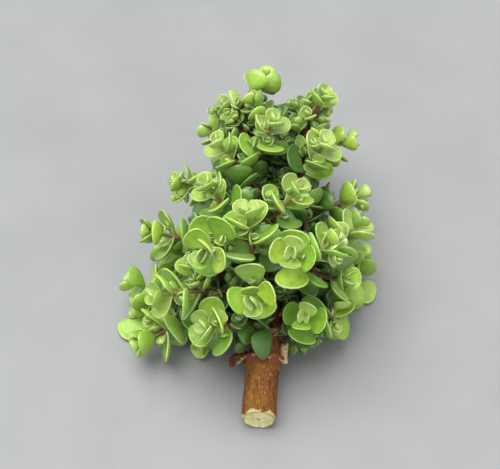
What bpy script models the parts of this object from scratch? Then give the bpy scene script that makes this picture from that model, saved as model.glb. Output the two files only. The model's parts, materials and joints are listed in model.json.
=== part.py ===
"""Cutting of a dwarf jade tree (Portulacaria afra), lying on a surface with its cut end towards -Y.

Metres, +Z up. The rim of the trunk's cut end and three leaves of the crown rest on the plane z = 0, and the
origin is at the bottom centre of the whole cutting's bounding box.

The woody trunk with its boughs and spurs is one solid. Every leafy stem is another: it is seated end to end
on its spur, and its fleshy leaves stand on it in opposite pairs, each pair turned a quarter from the last.
"""
import math
import random
from typing import NamedTuple

import bmesh
import bpy
from mathutils import Matrix, Quaternion, Vector
from mathutils.bvhtree import BVHTree
from mathutils.kdtree import KDTree

MM = 0.001
SEED = 11

# ---- Trunk: distances along its axis from the cut face ----
TRUNK_TILT = math.radians(14)  # the crown props the trunk's far end up
BASE_RADIUS = 7.1 * MM
CUT_SLANT = math.radians(17)  # the cut faces a little upwards
RING_AT = 28 * MM  # the swollen ring that the lowest pair of lost branches left
RING_RADIUS = 8.2 * MM
NECK_RADIUS = 6.1 * MM  # above the ring
FORK_AT = 77 * MM  # the trunk parts into two leaders
FORK_RADIUS = 4.9 * MM
LEADER_END_RADIUS = 2.4 * MM  # both leaders were pruned here
# (distance along the axis, offset to the side, offset upwards) of each leader's pruned end
LEADER_ENDS = ((140 * MM, -15 * MM, 11 * MM), (135 * MM, 16 * MM, 12 * MM))
# Dried stubs at the ring: (distance along the trunk, direction round it in degrees, length, radius)
STUBS = ((27, -98, 4.5, 1.3), (30, 80, 3.0, 1.8), (32, 160, 2.5, 1.5))

# ---- Boughs: an opposite pair at each trunk node, each pair about a quarter turn from the last ----
# (distance along the trunk, direction of the first of the pair round the trunk in degrees; 0 is up, 90 is +X)
BOUGH_NODES = ((39, 84), (48, -8), (59, 62), (70, -28))
BOUGH_REACH = 27 * MM
BOUGH_ROOT_RADIUS = 2.9 * MM
BOUGH_END_RADIUS = 1.7 * MM
BOUGH_SHARES = (0.5, 0.82)  # where a bough's opposite pairs of side stems stand
LEADER_SHARES = (0.28, 0.5, 0.7, 0.9)
BOUGH_TURN, LEADER_TURN = 0.2, 0.4  # of the first of those pairs round its bough or leader, in radians
SIDE_LEAN = 0.65  # how far a side stem leans along its bough, against 1 straight out from it
LOW_REACH = 0.5  # boughs on the under side are this much shorter, because the surface is near
# Young stems straight from the trunk: (distance along it, direction round it, lean back to the cut end)
TRUNK_SHOOTS = ((39, 26, 0.05), (40, -40, 0.12))

# ---- Crown: the surface that the leafy stems' tips reach ----
CROWN_LOW = 32 * MM
CROWN_TOP = 160 * MM
CROWN_RADIUS = 51 * MM
GROUND_ROOM = 7 * MM  # a tip stays this far above the surface
CROWN_LEAN = 0.2  # share by which the crown is wider on its -X side, and narrower on the other
CROWN_SKEW = 13 * MM  # and it hangs this much nearer the cut end there
TIP_SPACING = 25 * MM
SPREAD_ROUNDS = 40  # of pushing the tips apart

# ---- Stems that come down to the surface: (bough, seat's share of its length, place of the tip) ----
# Boughs are counted from the cut end. Each such stem ends in two leaves that lie flat on the surface.
RESTING = ((1, 0.7, (-54 * MM, 52 * MM)), (0, 0.7, (37 * MM, 72 * MM)), (7, 0.6, (4 * MM, 112 * MM)))
REST_HEIGHT = 1.9 * MM  # of such a stem's centre line above the surface, at its tip
REST_LEAF = 14.5 * MM
REST_SPREAD = math.radians(62)
REST_DROP = 0.2  # how much further down such a stem sets out than straight at its tip

# ---- Leafy stems ----
SPUR_LENGTH = 3 * MM  # woody spur beyond the bough's own radius
SEAT_GAP = 0.3 * MM  # between a spur's end and the leafy stem on it
STEM_ROOT_RADIUS = 1.25 * MM
STEM_TIP_RADIUS = 0.75 * MM
STEM_BARE = 3 * MM  # at the root, without leaves
STEM_SHORTEST = 13 * MM
STEM_LONGEST = 38 * MM
STEM_SIDES = 4
STEM_BOW = 0.42  # share of its length over which a stem holds the direction of its seat
STEM_TRIES = 200
TIP_SHIFT = 0.12 * MM  # each further try for a clear path moves the tip by this much more
WOOD_ROOM = 0.7 * MM  # between a leafy stem and any other wood or stem
# From the tip inwards: the gap before each node, the length of its leaves, and their angle to the stem
NODE_GAPS = (2.2, 4.2, 5.6, 6.6, 7.2)
LEAF_LENGTHS = (9.2, 12.4, 14.4, 15.2, 15.6)
LEAF_SPREADS = (42, 52, 60, 66, 70)
LOW_SIZE, TOP_SIZE = 1.04, 0.72  # sizes of the leaves low in the crown and at its top, times those lengths
SIZES_FROM, SIZES_TO = 50 * MM, 150 * MM  # the stretch of the tree over which they change
SIZE_CHANGE = 0.07  # and from stem to stem, up to this either way
LEAF_BREADTH = 0.86  # breadth as a share of length
LEAF_THICKNESS = 2.3 * MM
LEAF_CUP = 0.05  # rise of a leaf's root and tip above its middle, as a share of its length
LEAF_ROUND = 12 * MM  # leaves longer than this have eight sides, and the others six
LEAF_ROOT = 0.3 * MM  # how far a leaf's root runs past the stem's centre
LEAF_CLEARANCE = 0.3 * MM
LEAF_TRIES = 40


# ---------------------------------------------------------------------------------------------- places

AXIS = Vector((0, math.cos(TRUNK_TILT), math.sin(TRUNK_TILT)))
SIDE = Vector((1, 0, 0))
LIFT = Vector((0, -math.sin(TRUNK_TILT), math.cos(TRUNK_TILT)))
BASE = Vector((0, 0, BASE_RADIUS * math.cos(TRUNK_TILT)))


def in_tree(along, side, lift):
    """The point at a distance along the trunk's axis and offsets from it."""
    return BASE + AXIS * along + SIDE * side + LIFT * lift


def tree_place(point):
    """(distance along the trunk's axis, radius from it, direction round it) of a point."""
    off = point - BASE
    side, lift = off.dot(SIDE), off.dot(LIFT)
    return off.dot(AXIS), math.hypot(side, lift), math.atan2(side, lift)


def round_trunk(along, radius, turn):
    """The point at a distance along the trunk's axis, a radius from it and a direction round it."""
    return in_tree(along, radius * math.sin(turn), radius * math.cos(turn))


def crown_radius(along):
    """Radius of the crown at a distance along the trunk: broad above the bare trunk, closing at the top."""
    share = min(max((along - CROWN_LOW) / (CROWN_TOP - CROWN_LOW), 0.0), 1.0)
    return CROWN_RADIUS * (1 - share**2.5) ** 0.7 * min(1.0, 0.62 + 1.9 * share)


def lean(along, turn):
    """The crown's breadth as a share of its mean, in a direction round the trunk."""
    share = min(max(along / CROWN_TOP, 0.0), 1.0)
    return 1 - CROWN_LEAN * (1 - share**2) * math.sin(turn)


def inside_crown(point):
    """The point itself, or the nearest place for a tip within the crown and above the surface."""
    along, radius, turn = tree_place(point)
    skew = CROWN_SKEW * math.sin(turn)
    along = min(max(along, CROWN_LOW + skew), CROWN_TOP)
    widest = max(crown_radius(along - skew) * lean(along, turn), 6 * MM)
    point = round_trunk(along, min(radius, widest), turn)
    point.z = max(point.z, GROUND_ROOM)
    return point


def bezier(start, middle, end, count):
    """Points of a curve that sets out towards its middle point and comes to its end from there."""
    points = []
    for i in range(count):
        t = i / (count - 1)
        points.append(start * (1 - t) ** 2 + middle * 2 * t * (1 - t) + end * t**2)
    return points


def along_path(points, distance):
    """(point, direction) at a distance along a polyline."""
    for a, b in zip(points, points[1:]):
        step = (b - a).length
        if distance <= step:
            return a.lerp(b, max(distance, 0) / step), (b - a).normalized()
        distance -= step
    last = (points[-1] - points[-2]).normalized()
    return points[-1] + last * distance, last


def path_length(points):
    return sum((b - a).length for a, b in zip(points, points[1:]))


def radius_at(radii, share):
    """Radius at a share of a list of radii that are evenly spread over a path's points."""
    at = share * (len(radii) - 1)
    low = min(int(at), len(radii) - 2)
    return radii[low] + (radii[low + 1] - radii[low]) * (at - low)


def beads(points, radii, step=1.2 * MM):
    """Closely spaced (point, radius, distance) along a path, which stand for its tube."""
    found, gone = [], 0.0
    for i, (a, b) in enumerate(zip(points, points[1:])):
        length = (b - a).length
        count = max(1, round(length / step))
        for k in range(count + (i == len(points) - 2)):
            share = k / count
            radius = radius_at(radii, (i + share) / (len(points) - 1))
            found.append((a.lerp(b, share), radius, gone + share * length))
        gone += length
    return found


# ---------------------------------------------------------------------------------------------- wood

def trunk_path():
    """Centre points and radii of the trunk up to its fork, with the swollen ring."""
    stations = (
        (-4 * MM, 0, BASE_RADIUS),
        (9 * MM, 0.1 * MM, BASE_RADIUS),
        (16 * MM, 0.4 * MM, BASE_RADIUS * 0.98),
        (RING_AT - 6 * MM, 0.7 * MM, BASE_RADIUS * 1.02),
        (RING_AT - 2 * MM, 0.9 * MM, RING_RADIUS * 0.96),
        (RING_AT, 1.0 * MM, RING_RADIUS),
        (RING_AT + 2.5 * MM, 1.1 * MM, NECK_RADIUS * 1.15),
        (RING_AT + 6 * MM, 1.3 * MM, NECK_RADIUS),
        (48 * MM, 2.0 * MM, NECK_RADIUS),
        (60 * MM, 2.4 * MM, NECK_RADIUS * 0.95),
        (FORK_AT - 6 * MM, 2.2 * MM, FORK_RADIUS * 1.08),
        (FORK_AT, 2.0 * MM, FORK_RADIUS * 0.96),
    )
    return [in_tree(s, side, 0) for s, side, _ in stations], [r for _, _, r in stations]


def leader_path(end):
    """Centre points and radii of one of the two leaders, which parts from the trunk below its fork."""
    start = in_tree(FORK_AT - 7 * MM, 2.1 * MM, 0)
    middle = in_tree(FORK_AT + 14 * MM, 2.1 * MM + end[1] * 0.45, end[2])
    points = bezier(start, middle, in_tree(*end), 6)
    radii = [FORK_RADIUS * 0.9 + (LEADER_END_RADIUS - FORK_RADIUS * 0.9) * i / 5 for i in range(6)]
    return points, radii


def faces_down(turn):
    """Whether a direction round the trunk is one of those towards the surface."""
    return math.cos(turn) < -0.5


def bough_path(along, turn):
    """Centre points and radii of a bough, which leaves the trunk square to it and sweeps towards the top."""
    below = faces_down(turn)
    reach = BOUGH_REACH * lean(along, turn) * (LOW_REACH if below else 1)
    start = in_tree(along, 2 * MM, 0)
    middle = round_trunk(along + 0.10 * reach, reach * 0.62, turn)
    end = round_trunk(along + (1.1 if below else 0.34) * reach, reach, turn)
    points = bezier(start, middle, end, 5)
    radii = [BOUGH_ROOT_RADIUS + (BOUGH_END_RADIUS - BOUGH_ROOT_RADIUS) * i / 4 for i in range(5)]
    return points, radii


def side_seats(points, radii, shares, turn):
    """Opposite pairs of seats at shares of a bough's length, each pair a quarter turn from the last."""
    seats, whole = [], path_length(points)
    for i, share in enumerate(shares):
        point, heading = along_path(points, share * whole)
        across = heading.cross(AXIS if abs(heading.dot(AXIS)) < 0.9 else LIFT).normalized()
        across = Quaternion(heading, turn + i * math.pi / 2) @ across
        radius = radii[0] + (radii[-1] - radii[0]) * share
        for sign in (1, -1):
            seats.append((point, (heading * SIDE_LEAN + across * sign).normalized(), radius))
    return seats


def grow_wood():
    """The woody paths, as (points, radii, sides), and the seats of the leafy stems.

    A seat is (point on the wood's centre line, direction, radius of the wood there). The radius is None at
    a bough's end, where the stem carries straight on.
    """
    trunk, radii = trunk_path()
    wood, seats = [(trunk, radii, 12)], []
    for along, turn, length, radius in STUBS:
        turn = math.radians(turn)
        root = round_trunk(along * MM, 3 * MM, turn)
        tip = round_trunk((along - 2) * MM, RING_RADIUS + (length - 1) * MM, turn)
        wood.append(([root, tip], [radius * 1.3 * MM, radius * MM], 4))
    for along, turn, back in TRUNK_SHOOTS:
        turn = math.radians(turn)
        point = in_tree(along * MM, 1.5 * MM, 0)
        heading = (SIDE * math.sin(turn) + LIFT * math.cos(turn) - AXIS * back).normalized()
        seats.append((point, heading, NECK_RADIUS))
    for along, first in BOUGH_NODES:
        for opposite in (0, 180):
            turn = math.radians(first + opposite)
            points, radii = bough_path(along * MM, turn)
            wood.append((points, radii, 6))
            seats += side_seats(points, radii, BOUGH_SHARES[faces_down(turn) :], BOUGH_TURN)
            seats.append((points[-1], (points[-1] - points[-2]).normalized(), None))
    for end in LEADER_ENDS:
        points, radii = leader_path(end)
        wood.append((points, radii, 6))
        seats += side_seats(points, radii, LEADER_SHARES, LEADER_TURN)
    return wood, seats


def resting_seats(wood):
    """The seats of the stems that come down to the surface, each with the place of its tip."""
    boughs = wood[1 + len(STUBS) :]
    seats = []
    for index, share, (x, y) in RESTING:
        points, radii, _ = boughs[index]
        point, along = along_path(points, share * path_length(points))
        tip = Vector((x, y, REST_HEIGHT))
        down = (tip - point).normalized()
        heading = (down - along * down.dot(along) * 0.5 - Vector((0, 0, REST_DROP))).normalized()
        seats.append(((point, heading, radii[0] + (radii[-1] - radii[0]) * share), tip))
    return seats


# ---------------------------------------------------------------------------------------------- stems

class Room:
    """The tubes that are in place, as beads."""

    def __init__(self):
        self.beads = []

    def add(self, owner, points, radii):
        self.beads += [(p, r, owner, at) for p, r, at in beads(points, radii)]

    def free(self, points, radii, skip):
        """Whether a path is clear of every tube, not counting those near its own root."""
        for point, radius, at in beads(points, radii, 1.5 * MM):
            if point.z < radius + WOOD_ROOM:
                return False
            room = WOOD_ROOM if at > 4 * MM else 0.2 * MM
            for other, wide, owner, _ in self.beads:
                if owner == skip and at < 4 * MM:
                    continue
                if (other - point).length < radius + wide + room:
                    return False
        return True


def reach_crown(point, heading):
    """How far a stem runs from a seat before its tip meets the crown's surface or nears the ground."""
    distance = STEM_SHORTEST
    while distance < STEM_LONGEST:
        tip = point + heading * distance
        if (inside_crown(tip) - tip).length > 0.1 * MM:
            break
        distance += 1 * MM
    return distance


def spread_tips(seats):
    """Tips of the stems, pushed apart from each other as shoots are that seek the light."""
    natural = [p + h * reach_crown(p, h) for p, h, _ in seats]
    tips = [t.copy() for t in natural]
    for _ in range(SPREAD_ROUNDS):
        moved = []
        for i, tip in enumerate(tips):
            push = (natural[i] - tip) * 0.05
            for j, other in enumerate(tips):
                gap = (tip - other).length
                if i != j and gap < TIP_SPACING:
                    push += (tip - other) / max(gap, 1 * MM) * (TIP_SPACING - gap) * 0.12
            moved.append(inside_crown(tip + push))
        tips = moved
    return tips


STEM_RADII = (STEM_ROOT_RADIUS, STEM_TIP_RADIUS)
SPUR_RADII = (STEM_ROOT_RADIUS * 1.3, STEM_ROOT_RADIUS * 1.15)


def grow_stems(seats, resting, wood):
    """Each stem as (spur points, stem points), bent clear of all other wood and stems."""
    chance = random.Random(SEED)
    room = Room()
    for points, radii, _ in wood:
        room.add("wood", points, radii)
    spurs = []
    for i, (point, heading, bough_radius) in enumerate([seat for seat, _ in resting] + seats):
        spur = [] if bough_radius is None else [point, point + heading * (bough_radius + SPUR_LENGTH)]
        if spur:
            room.add(i, spur, SPUR_RADII)
        spurs.append(spur)
    stems = {}
    for i, ((point, heading, _), tip) in enumerate(resting):
        start = spurs[i][1] + heading * SEAT_GAP
        level = Vector((tip.x - start.x, tip.y - start.y, 0)).normalized()
        bow = tip - level * (tip - start).length * 0.5
        path = [start] + bezier(start + heading * 1.5 * MM, bow, tip, 5)
        name = f"resting_stem_{i + 1}"
        room.add(name, path, STEM_RADII)
        stems[name] = (spurs[i], path)
    for i, ((point, heading, _), tip) in enumerate(zip(seats, spread_tips(seats)), len(resting)):
        start = (spurs[i][1] if spurs[i] else point) + heading * SEAT_GAP
        for attempt in range(STEM_TRIES):
            aim = tip + Vector([chance.gauss(0, 1) for _ in range(3)]) * attempt * TIP_SHIFT
            reach = (aim - start).length
            length = min(max(reach, STEM_SHORTEST), STEM_LONGEST)
            end = start + (aim - start) * (length / reach)
            end.z = max(end.z, GROUND_ROOM)
            bow = start + heading * length * STEM_BOW
            path = [start] + bezier(start + heading * 1.5 * MM, bow, end, 4)
            if room.free(path, STEM_RADII, i if spurs[i] else "wood"):
                break
        else:
            continue
        name = f"leafy_stem_{len(stems) + 1 - len(resting):02d}"
        room.add(name, path, STEM_RADII)
        stems[name] = (spurs[i], path)
    return stems


# ---------------------------------------------------------------------------------------------- leaves

class Leaf(NamedTuple):
    """A leaf's sizes, and its placement: its root at the origin, its tip along +X, its upper side up."""

    length: float
    breadth: float
    thickness: float
    cup: float  # rise of the root and tip above the middle, as a share of the length
    lift: float  # on a leaf that lies flat on the surface, how far its root bends up to the stem; otherwise 0
    frame: Matrix

    def centre(self):
        """The middle of the leaf."""
        return self.frame @ Vector((self.length / 2, 0, 0))

    def reach(self):
        """Radius round the centre that holds the whole leaf."""
        return self.length * 0.62


def leaf_point(leaf, unit, margin):
    """Where a point of a coarse unit sphere goes on a leaf that runs along +X with its upper side up.

    The outline is a wedge at the root and round at the tip. The upper side is a little hollow.
    """
    length, breadth, thickness = leaf.length + margin, leaf.breadth + 2 * margin, leaf.thickness + 2 * margin
    if abs(unit.z) > 0.9:
        x, y = 0.5, 0.0
        below = 0 if leaf.lift else -0.58
        z = thickness * (below + 1 if unit.z > 0 else below)
    else:
        turn = math.atan2(unit.y, -unit.x)
        x = 0.5 - 0.5 * math.cos(turn)
        y = 0.5 * breadth / length * math.sin(turn) * x**0.7 * 1.4
        z = leaf.lift if x < 0.01 else 0
    return Vector((x * length, y * length, z + leaf.cup * length * (2 * x - 1) ** 2))


def leaf_mesh(leaf, margin=0.0):
    """Points and faces of a leaf in place, made thicker and broader all round by a margin."""
    ball = bmesh.new()
    bmesh.ops.create_uvsphere(ball, u_segments=8 if leaf.length > LEAF_ROUND else 6, v_segments=2, radius=1)
    points = [leaf.frame @ leaf_point(leaf, v.co, margin) for v in ball.verts]
    faces = [[v.index for v in f.verts] for f in ball.faces]
    ball.free()
    return points, faces


def leaf_frame(root, stem_heading, outward, spread, twist):
    """Placement of a leaf: it leaves the stem at an angle, with its upper side towards the stem's tip."""
    forward = stem_heading * math.cos(spread) + outward * math.sin(spread)
    upper = stem_heading * math.sin(spread) - outward * math.cos(spread)
    upper = Quaternion(forward, twist) @ upper
    across = upper.cross(forward)
    turned = Matrix((forward, across, upper)).transposed().to_4x4()
    return Matrix.Translation(root - forward * LEAF_ROOT) @ turned


class Canopy:
    """The leaves and stems that are in place, and whether a further leaf is clear of them."""

    def __init__(self, samples):
        self.leaves = []
        self.samples = samples
        self.tree = KDTree(len(samples))
        for i, sample in enumerate(samples):
            self.tree.insert(sample[0], i)
        self.tree.balance()

    def clear(self, owner, at, leaf):
        """Whether a leaf, at a distance along its stem, keeps its clearance from all that is in place."""
        wide, faces = leaf_mesh(leaf, LEAF_CLEARANCE)
        if min(p.z for p in wide) < 0.4 * MM and not leaf.lift:
            return False
        whole = BVHTree.FromPolygons(wide, faces)
        root = leaf.frame.translation
        outer = [i for i, p in enumerate(wide) if (p - root).length > 0.25 * leaf.length]
        blade = BVHTree.FromPolygons(wide, [f for f in faces if all(i in outer for i in f)])
        for point, i, _ in self.tree.find_range(leaf.centre(), leaf.reach() + 8 * MM):
            _, radius, name, along = self.samples[i]
            if name == owner and abs(along - at) < 5 * MM:
                continue
            if whole.find_nearest(point, radius + 0.1 * MM)[0] is not None:
                return False
        for name, other, other_whole in self.leaves:
            if (other.centre() - leaf.centre()).length > leaf.reach() + other.reach():
                continue
            if (blade if name == owner else whole).overlap(other_whole):
                return False
        return True

    def add(self, owner, leaf):
        """Takes a leaf in as placed."""
        self.leaves.append((owner, leaf, BVHTree.FromPolygons(*leaf_mesh(leaf))))


def stem_nodes(points, size):
    """(distance along the stem, leaf length) of its leaf pairs, from the tip inwards."""
    whole, from_tip, nodes = path_length(points), 0.0, []
    for gap, length in zip(NODE_GAPS, LEAF_LENGTHS):
        from_tip += gap * MM * (0.5 + 0.5 * size)
        if whole - from_tip < STEM_BARE:
            break
        nodes.append((whole - from_tip, length * MM * size))
    return nodes


def place_resting_leaves(canopy, name, stem):
    """A pair of leaves at a stem's tip, flat on the surface to its left and right."""
    at = path_length(stem) - NODE_GAPS[0] * MM
    root, heading = along_path(stem, at)
    heading = Vector((heading.x, heading.y, 0)).normalized()
    across = Vector((0, 0, 1)).cross(heading)
    placed = []
    for sign in (1, -1):
        forward = heading * math.cos(REST_SPREAD) + across * math.sin(REST_SPREAD) * sign
        turned = Matrix((forward, Vector((0, 0, 1)).cross(forward), (0, 0, 1))).transposed().to_4x4()
        frame = Matrix.Translation((root.x, root.y, 0)) @ turned @ Matrix.Translation((-LEAF_ROOT, 0, 0))
        leaf = Leaf(REST_LEAF, REST_LEAF * LEAF_BREADTH, LEAF_THICKNESS, 0, root.z, frame)
        canopy.add(name, leaf)
        placed.append(leaf)
    return placed


def place_leaf(canopy, chance, name, at, stem, around, length, rank):
    """The first of a leaf's possible placements that is clear of everything else, or None."""
    root, heading = along_path(stem, at)
    square = heading.orthogonal().normalized()
    for attempt in range(LEAF_TRIES):
        loose = attempt / LEAF_TRIES
        size = length * (1 - 0.45 * max(0, loose - 0.25)) * chance.uniform(0.95, 1.05)
        spread = math.radians(LEAF_SPREADS[rank]) + chance.gauss(0, 0.08 + 0.30 * loose)
        outward = Quaternion(heading, around + chance.gauss(0, 0.10 + 0.45 * loose)) @ square
        twist = chance.gauss(0, 0.10 + 0.55 * loose)
        breadth = size * LEAF_BREADTH * chance.uniform(0.92, 1.08)
        thickness = LEAF_THICKNESS * (0.55 + 0.45 * size / (15 * MM))
        frame = leaf_frame(root, heading, outward, spread, twist)
        leaf = Leaf(size, breadth, thickness, LEAF_CUP, 0, frame)
        if canopy.clear(name, at, leaf):
            canopy.add(name, leaf)
            return leaf
    return None


def grow_leaves(wood, stems):
    """Leaves of every stem, outermost pairs first, each turned or made smaller until it is clear."""
    chance = random.Random(SEED)
    room = Room()
    for points, radii, _ in wood:
        room.add("wood", points, radii)
    for name, (spur, stem) in stems.items():
        room.add(name, stem, STEM_RADII)
        if spur:
            room.add("wood", spur, SPUR_RADII)
    canopy = Canopy(room.beads)
    leaves = {name: [] for name in stems}
    plans = {}
    for name, (_, stem) in stems.items():
        along, _, _ = tree_place(stem[-1])
        height = max(0.0, (along - SIZES_FROM) / (SIZES_TO - SIZES_FROM))
        size = LOW_SIZE + (TOP_SIZE - LOW_SIZE) * height + chance.uniform(-SIZE_CHANGE, SIZE_CHANGE)
        plans[name] = (stem_nodes(stem, size), chance.uniform(0, math.pi / 2))
        if name.startswith("resting"):
            leaves[name] += place_resting_leaves(canopy, name, stem)
    for rank in range(len(NODE_GAPS)):
        for name, (nodes, turn) in plans.items():
            if rank >= len(nodes) or (rank == 0 and name.startswith("resting")):
                continue
            at, length = nodes[rank]
            for side in (0, 1):
                around = turn + rank * math.pi / 2 + side * math.pi
                leaf = place_leaf(canopy, chance, name, at, stems[name][1], around, length, rank)
                if leaf:
                    leaves[name].append(leaf)
    return leaves


# ---------------------------------------------------------------------------------------------- objects

def material(name, colour, roughness):
    """A plain material of one colour."""
    made = bpy.data.materials.new(name)
    made.use_nodes = True
    shader = made.node_tree.nodes["Principled BSDF"]
    shader.inputs["Base Color"].default_value = (*colour, 1)
    shader.inputs["Roughness"].default_value = roughness
    shader.inputs["Metallic"].default_value = 0
    return made


def clear_scene():
    """Removes the objects of the startup scene."""
    for obj in list(bpy.data.objects):
        bpy.data.objects.remove(obj)


def collection(name):
    """A new collection in the scene."""
    made = bpy.data.collections.new(name)
    bpy.context.scene.collection.children.link(made)
    return made


def tube(name, points, radii, sides, home):
    """A solid tube along points, as a mesh: a curve with a round bevel, and filled caps welded to it."""
    curve = bpy.data.curves.new(name, "CURVE")
    curve.dimensions = "3D"
    curve.bevel_depth = 1
    curve.bevel_resolution = sides // 2 - 2
    curve.use_fill_caps = True
    spline = curve.splines.new("POLY")
    spline.points.add(len(points) - 1)
    for i, (point, knot) in enumerate(zip(points, spline.points)):
        knot.co = (*point, 1)
        knot.radius = radius_at(radii, i / (len(points) - 1))
    guide = bpy.data.objects.new(name, curve)
    home.objects.link(guide)
    graph = bpy.context.evaluated_depsgraph_get()
    mesh = bpy.data.meshes.new_from_object(guide.evaluated_get(graph))
    bpy.data.objects.remove(guide)
    shape = bmesh.new()
    shape.from_mesh(mesh)
    bmesh.ops.remove_doubles(shape, verts=shape.verts, dist=0.01 * MM)
    bmesh.ops.recalc_face_normals(shape, faces=shape.faces)
    shape.to_mesh(mesh)
    shape.free()
    made = bpy.data.objects.new(name, mesh)
    home.objects.link(made)
    return made


def leaf_object(name, leaf, home):
    """One leaf as an object, with its faces outward."""
    points, faces = leaf_mesh(leaf)
    mesh = bpy.data.meshes.new(name)
    mesh.from_pydata(points, [], faces)
    solid = bmesh.new()
    solid.from_mesh(mesh)
    bmesh.ops.recalc_face_normals(solid, faces=solid.faces)
    solid.to_mesh(mesh)
    solid.free()
    made = bpy.data.objects.new(name, mesh)
    home.objects.link(made)
    return made


def fuse(body, parts):
    """Joins everything in a collection to a body with one Boolean union, and removes the collection."""
    union = body.modifiers.new("grown_together", "BOOLEAN")
    union.operation = "UNION"
    union.operand_type = "COLLECTION"
    union.collection = parts
    union.solver = "EXACT"
    graph = bpy.context.evaluated_depsgraph_get()
    fused = bpy.data.meshes.new_from_object(body.evaluated_get(graph))
    body.modifiers.remove(union)
    body.data = fused
    for part in list(parts.objects):
        bpy.data.objects.remove(part)
    bpy.data.collections.remove(parts)


def cut_end(trunk):
    """Cuts the trunk's end off, a little aslant, and closes it flat."""
    facing = AXIS * -math.cos(CUT_SLANT) + LIFT * math.sin(CUT_SLANT)
    solid = bmesh.new()
    solid.from_mesh(trunk.data)
    everything = solid.verts[:] + solid.edges[:] + solid.faces[:]
    at = round_trunk(0, BASE_RADIUS, math.pi)
    cut = bmesh.ops.bisect_plane(solid, geom=everything, plane_co=at, plane_no=facing, clear_outer=True)
    rim = [e for e in cut["geom_cut"] if isinstance(e, bmesh.types.BMEdge)]
    bmesh.ops.holes_fill(solid, edges=rim)
    bmesh.ops.recalc_face_normals(solid, faces=solid.faces)
    solid.to_mesh(trunk.data)
    solid.free()


def build_wood(wood, stems, home, bark):
    """The trunk, with the stubs, boughs, leaders and spurs joined to it."""
    points, radii, sides = wood[0]
    trunk = tube("trunk_and_boughs", points, radii, sides, home)
    cut_end(trunk)
    joined = collection("joined")
    for i, (points, radii, sides) in enumerate(wood[1:]):
        tube(f"bough_{i}", points, radii, sides, joined)
    for name, (spur, _) in stems.items():
        if spur:
            tube(f"spur_{name}", spur, SPUR_RADII, STEM_SIDES, joined)
    fuse(trunk, joined)
    trunk.data.materials.clear()
    trunk.data.materials.append(bark)
    return trunk


def build_stem(name, stem, leaves, home, green):
    """A leafy stem with its leaves joined to it."""
    body = tube(name, stem, STEM_RADII, STEM_SIDES, home)
    joined = collection("joined")
    for i, leaf in enumerate(leaves):
        leaf_object(f"leaf_{i}", leaf, joined)
    fuse(body, joined)
    body.data.materials.clear()
    body.data.materials.append(green)
    return body


def main():
    """Builds the cutting and moves its bounding box's bottom centre to the origin."""
    clear_scene()
    home = collection("dwarf_jade_cutting")
    bark = material("bark", (0.24, 0.11, 0.05), 0.75)
    green = material("leaf", (0.25, 0.42, 0.08), 0.45)
    wood, seats = grow_wood()
    stems = grow_stems(seats, resting_seats(wood), wood)
    leaves = grow_leaves(wood, stems)
    whole = [build_wood(wood, stems, home, bark)]
    for name, (_, stem) in stems.items():
        whole.append(build_stem(name, stem, leaves[name], home, green))
    corners = [v.co for obj in whole for v in obj.data.vertices]
    centre = Vector([(min(c[k] for c in corners) + max(c[k] for c in corners)) / 2 for k in (0, 1)] + [0])
    place = bpy.data.objects.new("cutting", None)
    home.objects.link(place)
    place.location = -centre
    for obj in whole:
        obj.parent = place


main()
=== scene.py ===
"""Looks of a cutting of a dwarf jade tree (Portulacaria afra) that lies on a pale surface.

Metres, +Z up, with the trunk's cut end towards -Y. Wood, stems and leaves are laid out by the solids' rules
and random draws, so that each fine piece stands where its solid is. The smallest leaves and the young
shoots, which the solids leave out, are added.
"""
from __future__ import annotations

import json
import logging
from dataclasses import dataclass, field
from enum import Enum
from functools import cache, cached_property, partial
from math import atan2, cos, exp, hypot, pi, radians, sin, tan, tau
from random import Random
from typing import Any, NamedTuple, Sequence

import bmesh
import bpy
from bpy.types import Material, Mesh, Node, NodeTree, Object
from bpy.types import NodeSocket as Socket
from mathutils import Matrix, Quaternion, Vector, noise
from mathutils.bvhtree import BVHTree
from mathutils.kdtree import KDTree

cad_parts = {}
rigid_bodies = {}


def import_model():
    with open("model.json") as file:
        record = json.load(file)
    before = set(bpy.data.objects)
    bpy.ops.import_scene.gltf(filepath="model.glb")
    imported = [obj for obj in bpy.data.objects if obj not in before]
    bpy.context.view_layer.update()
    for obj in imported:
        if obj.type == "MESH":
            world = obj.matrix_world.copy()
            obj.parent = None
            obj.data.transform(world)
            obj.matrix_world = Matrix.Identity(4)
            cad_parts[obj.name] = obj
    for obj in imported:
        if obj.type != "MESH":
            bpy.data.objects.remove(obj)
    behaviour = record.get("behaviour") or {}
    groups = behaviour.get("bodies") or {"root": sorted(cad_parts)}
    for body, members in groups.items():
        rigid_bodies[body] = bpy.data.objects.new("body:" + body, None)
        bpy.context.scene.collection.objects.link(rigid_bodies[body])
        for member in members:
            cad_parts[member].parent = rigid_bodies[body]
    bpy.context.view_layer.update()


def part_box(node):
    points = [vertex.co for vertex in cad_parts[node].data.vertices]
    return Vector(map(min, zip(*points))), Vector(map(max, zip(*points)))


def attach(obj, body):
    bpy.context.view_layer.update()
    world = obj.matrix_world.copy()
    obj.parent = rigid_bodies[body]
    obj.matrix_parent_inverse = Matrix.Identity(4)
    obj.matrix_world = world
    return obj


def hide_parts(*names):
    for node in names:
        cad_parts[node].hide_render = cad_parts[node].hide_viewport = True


MM = 0.001
SEED = 11
SIDE = Vector((1, 0, 0))
UP = Vector((0, 0, 1))
BODY = "root"
NEARLY_PARALLEL = 0.9  # cosine past which two directions count as parallel

LOG = logging.getLogger("dwarf_jade")
Path = list[Vector]
Owner = str | int
Triple = tuple[float, float, float]
Faces = list[list[int]]
Radii = Sequence[float]


# ---- path tools

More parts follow.
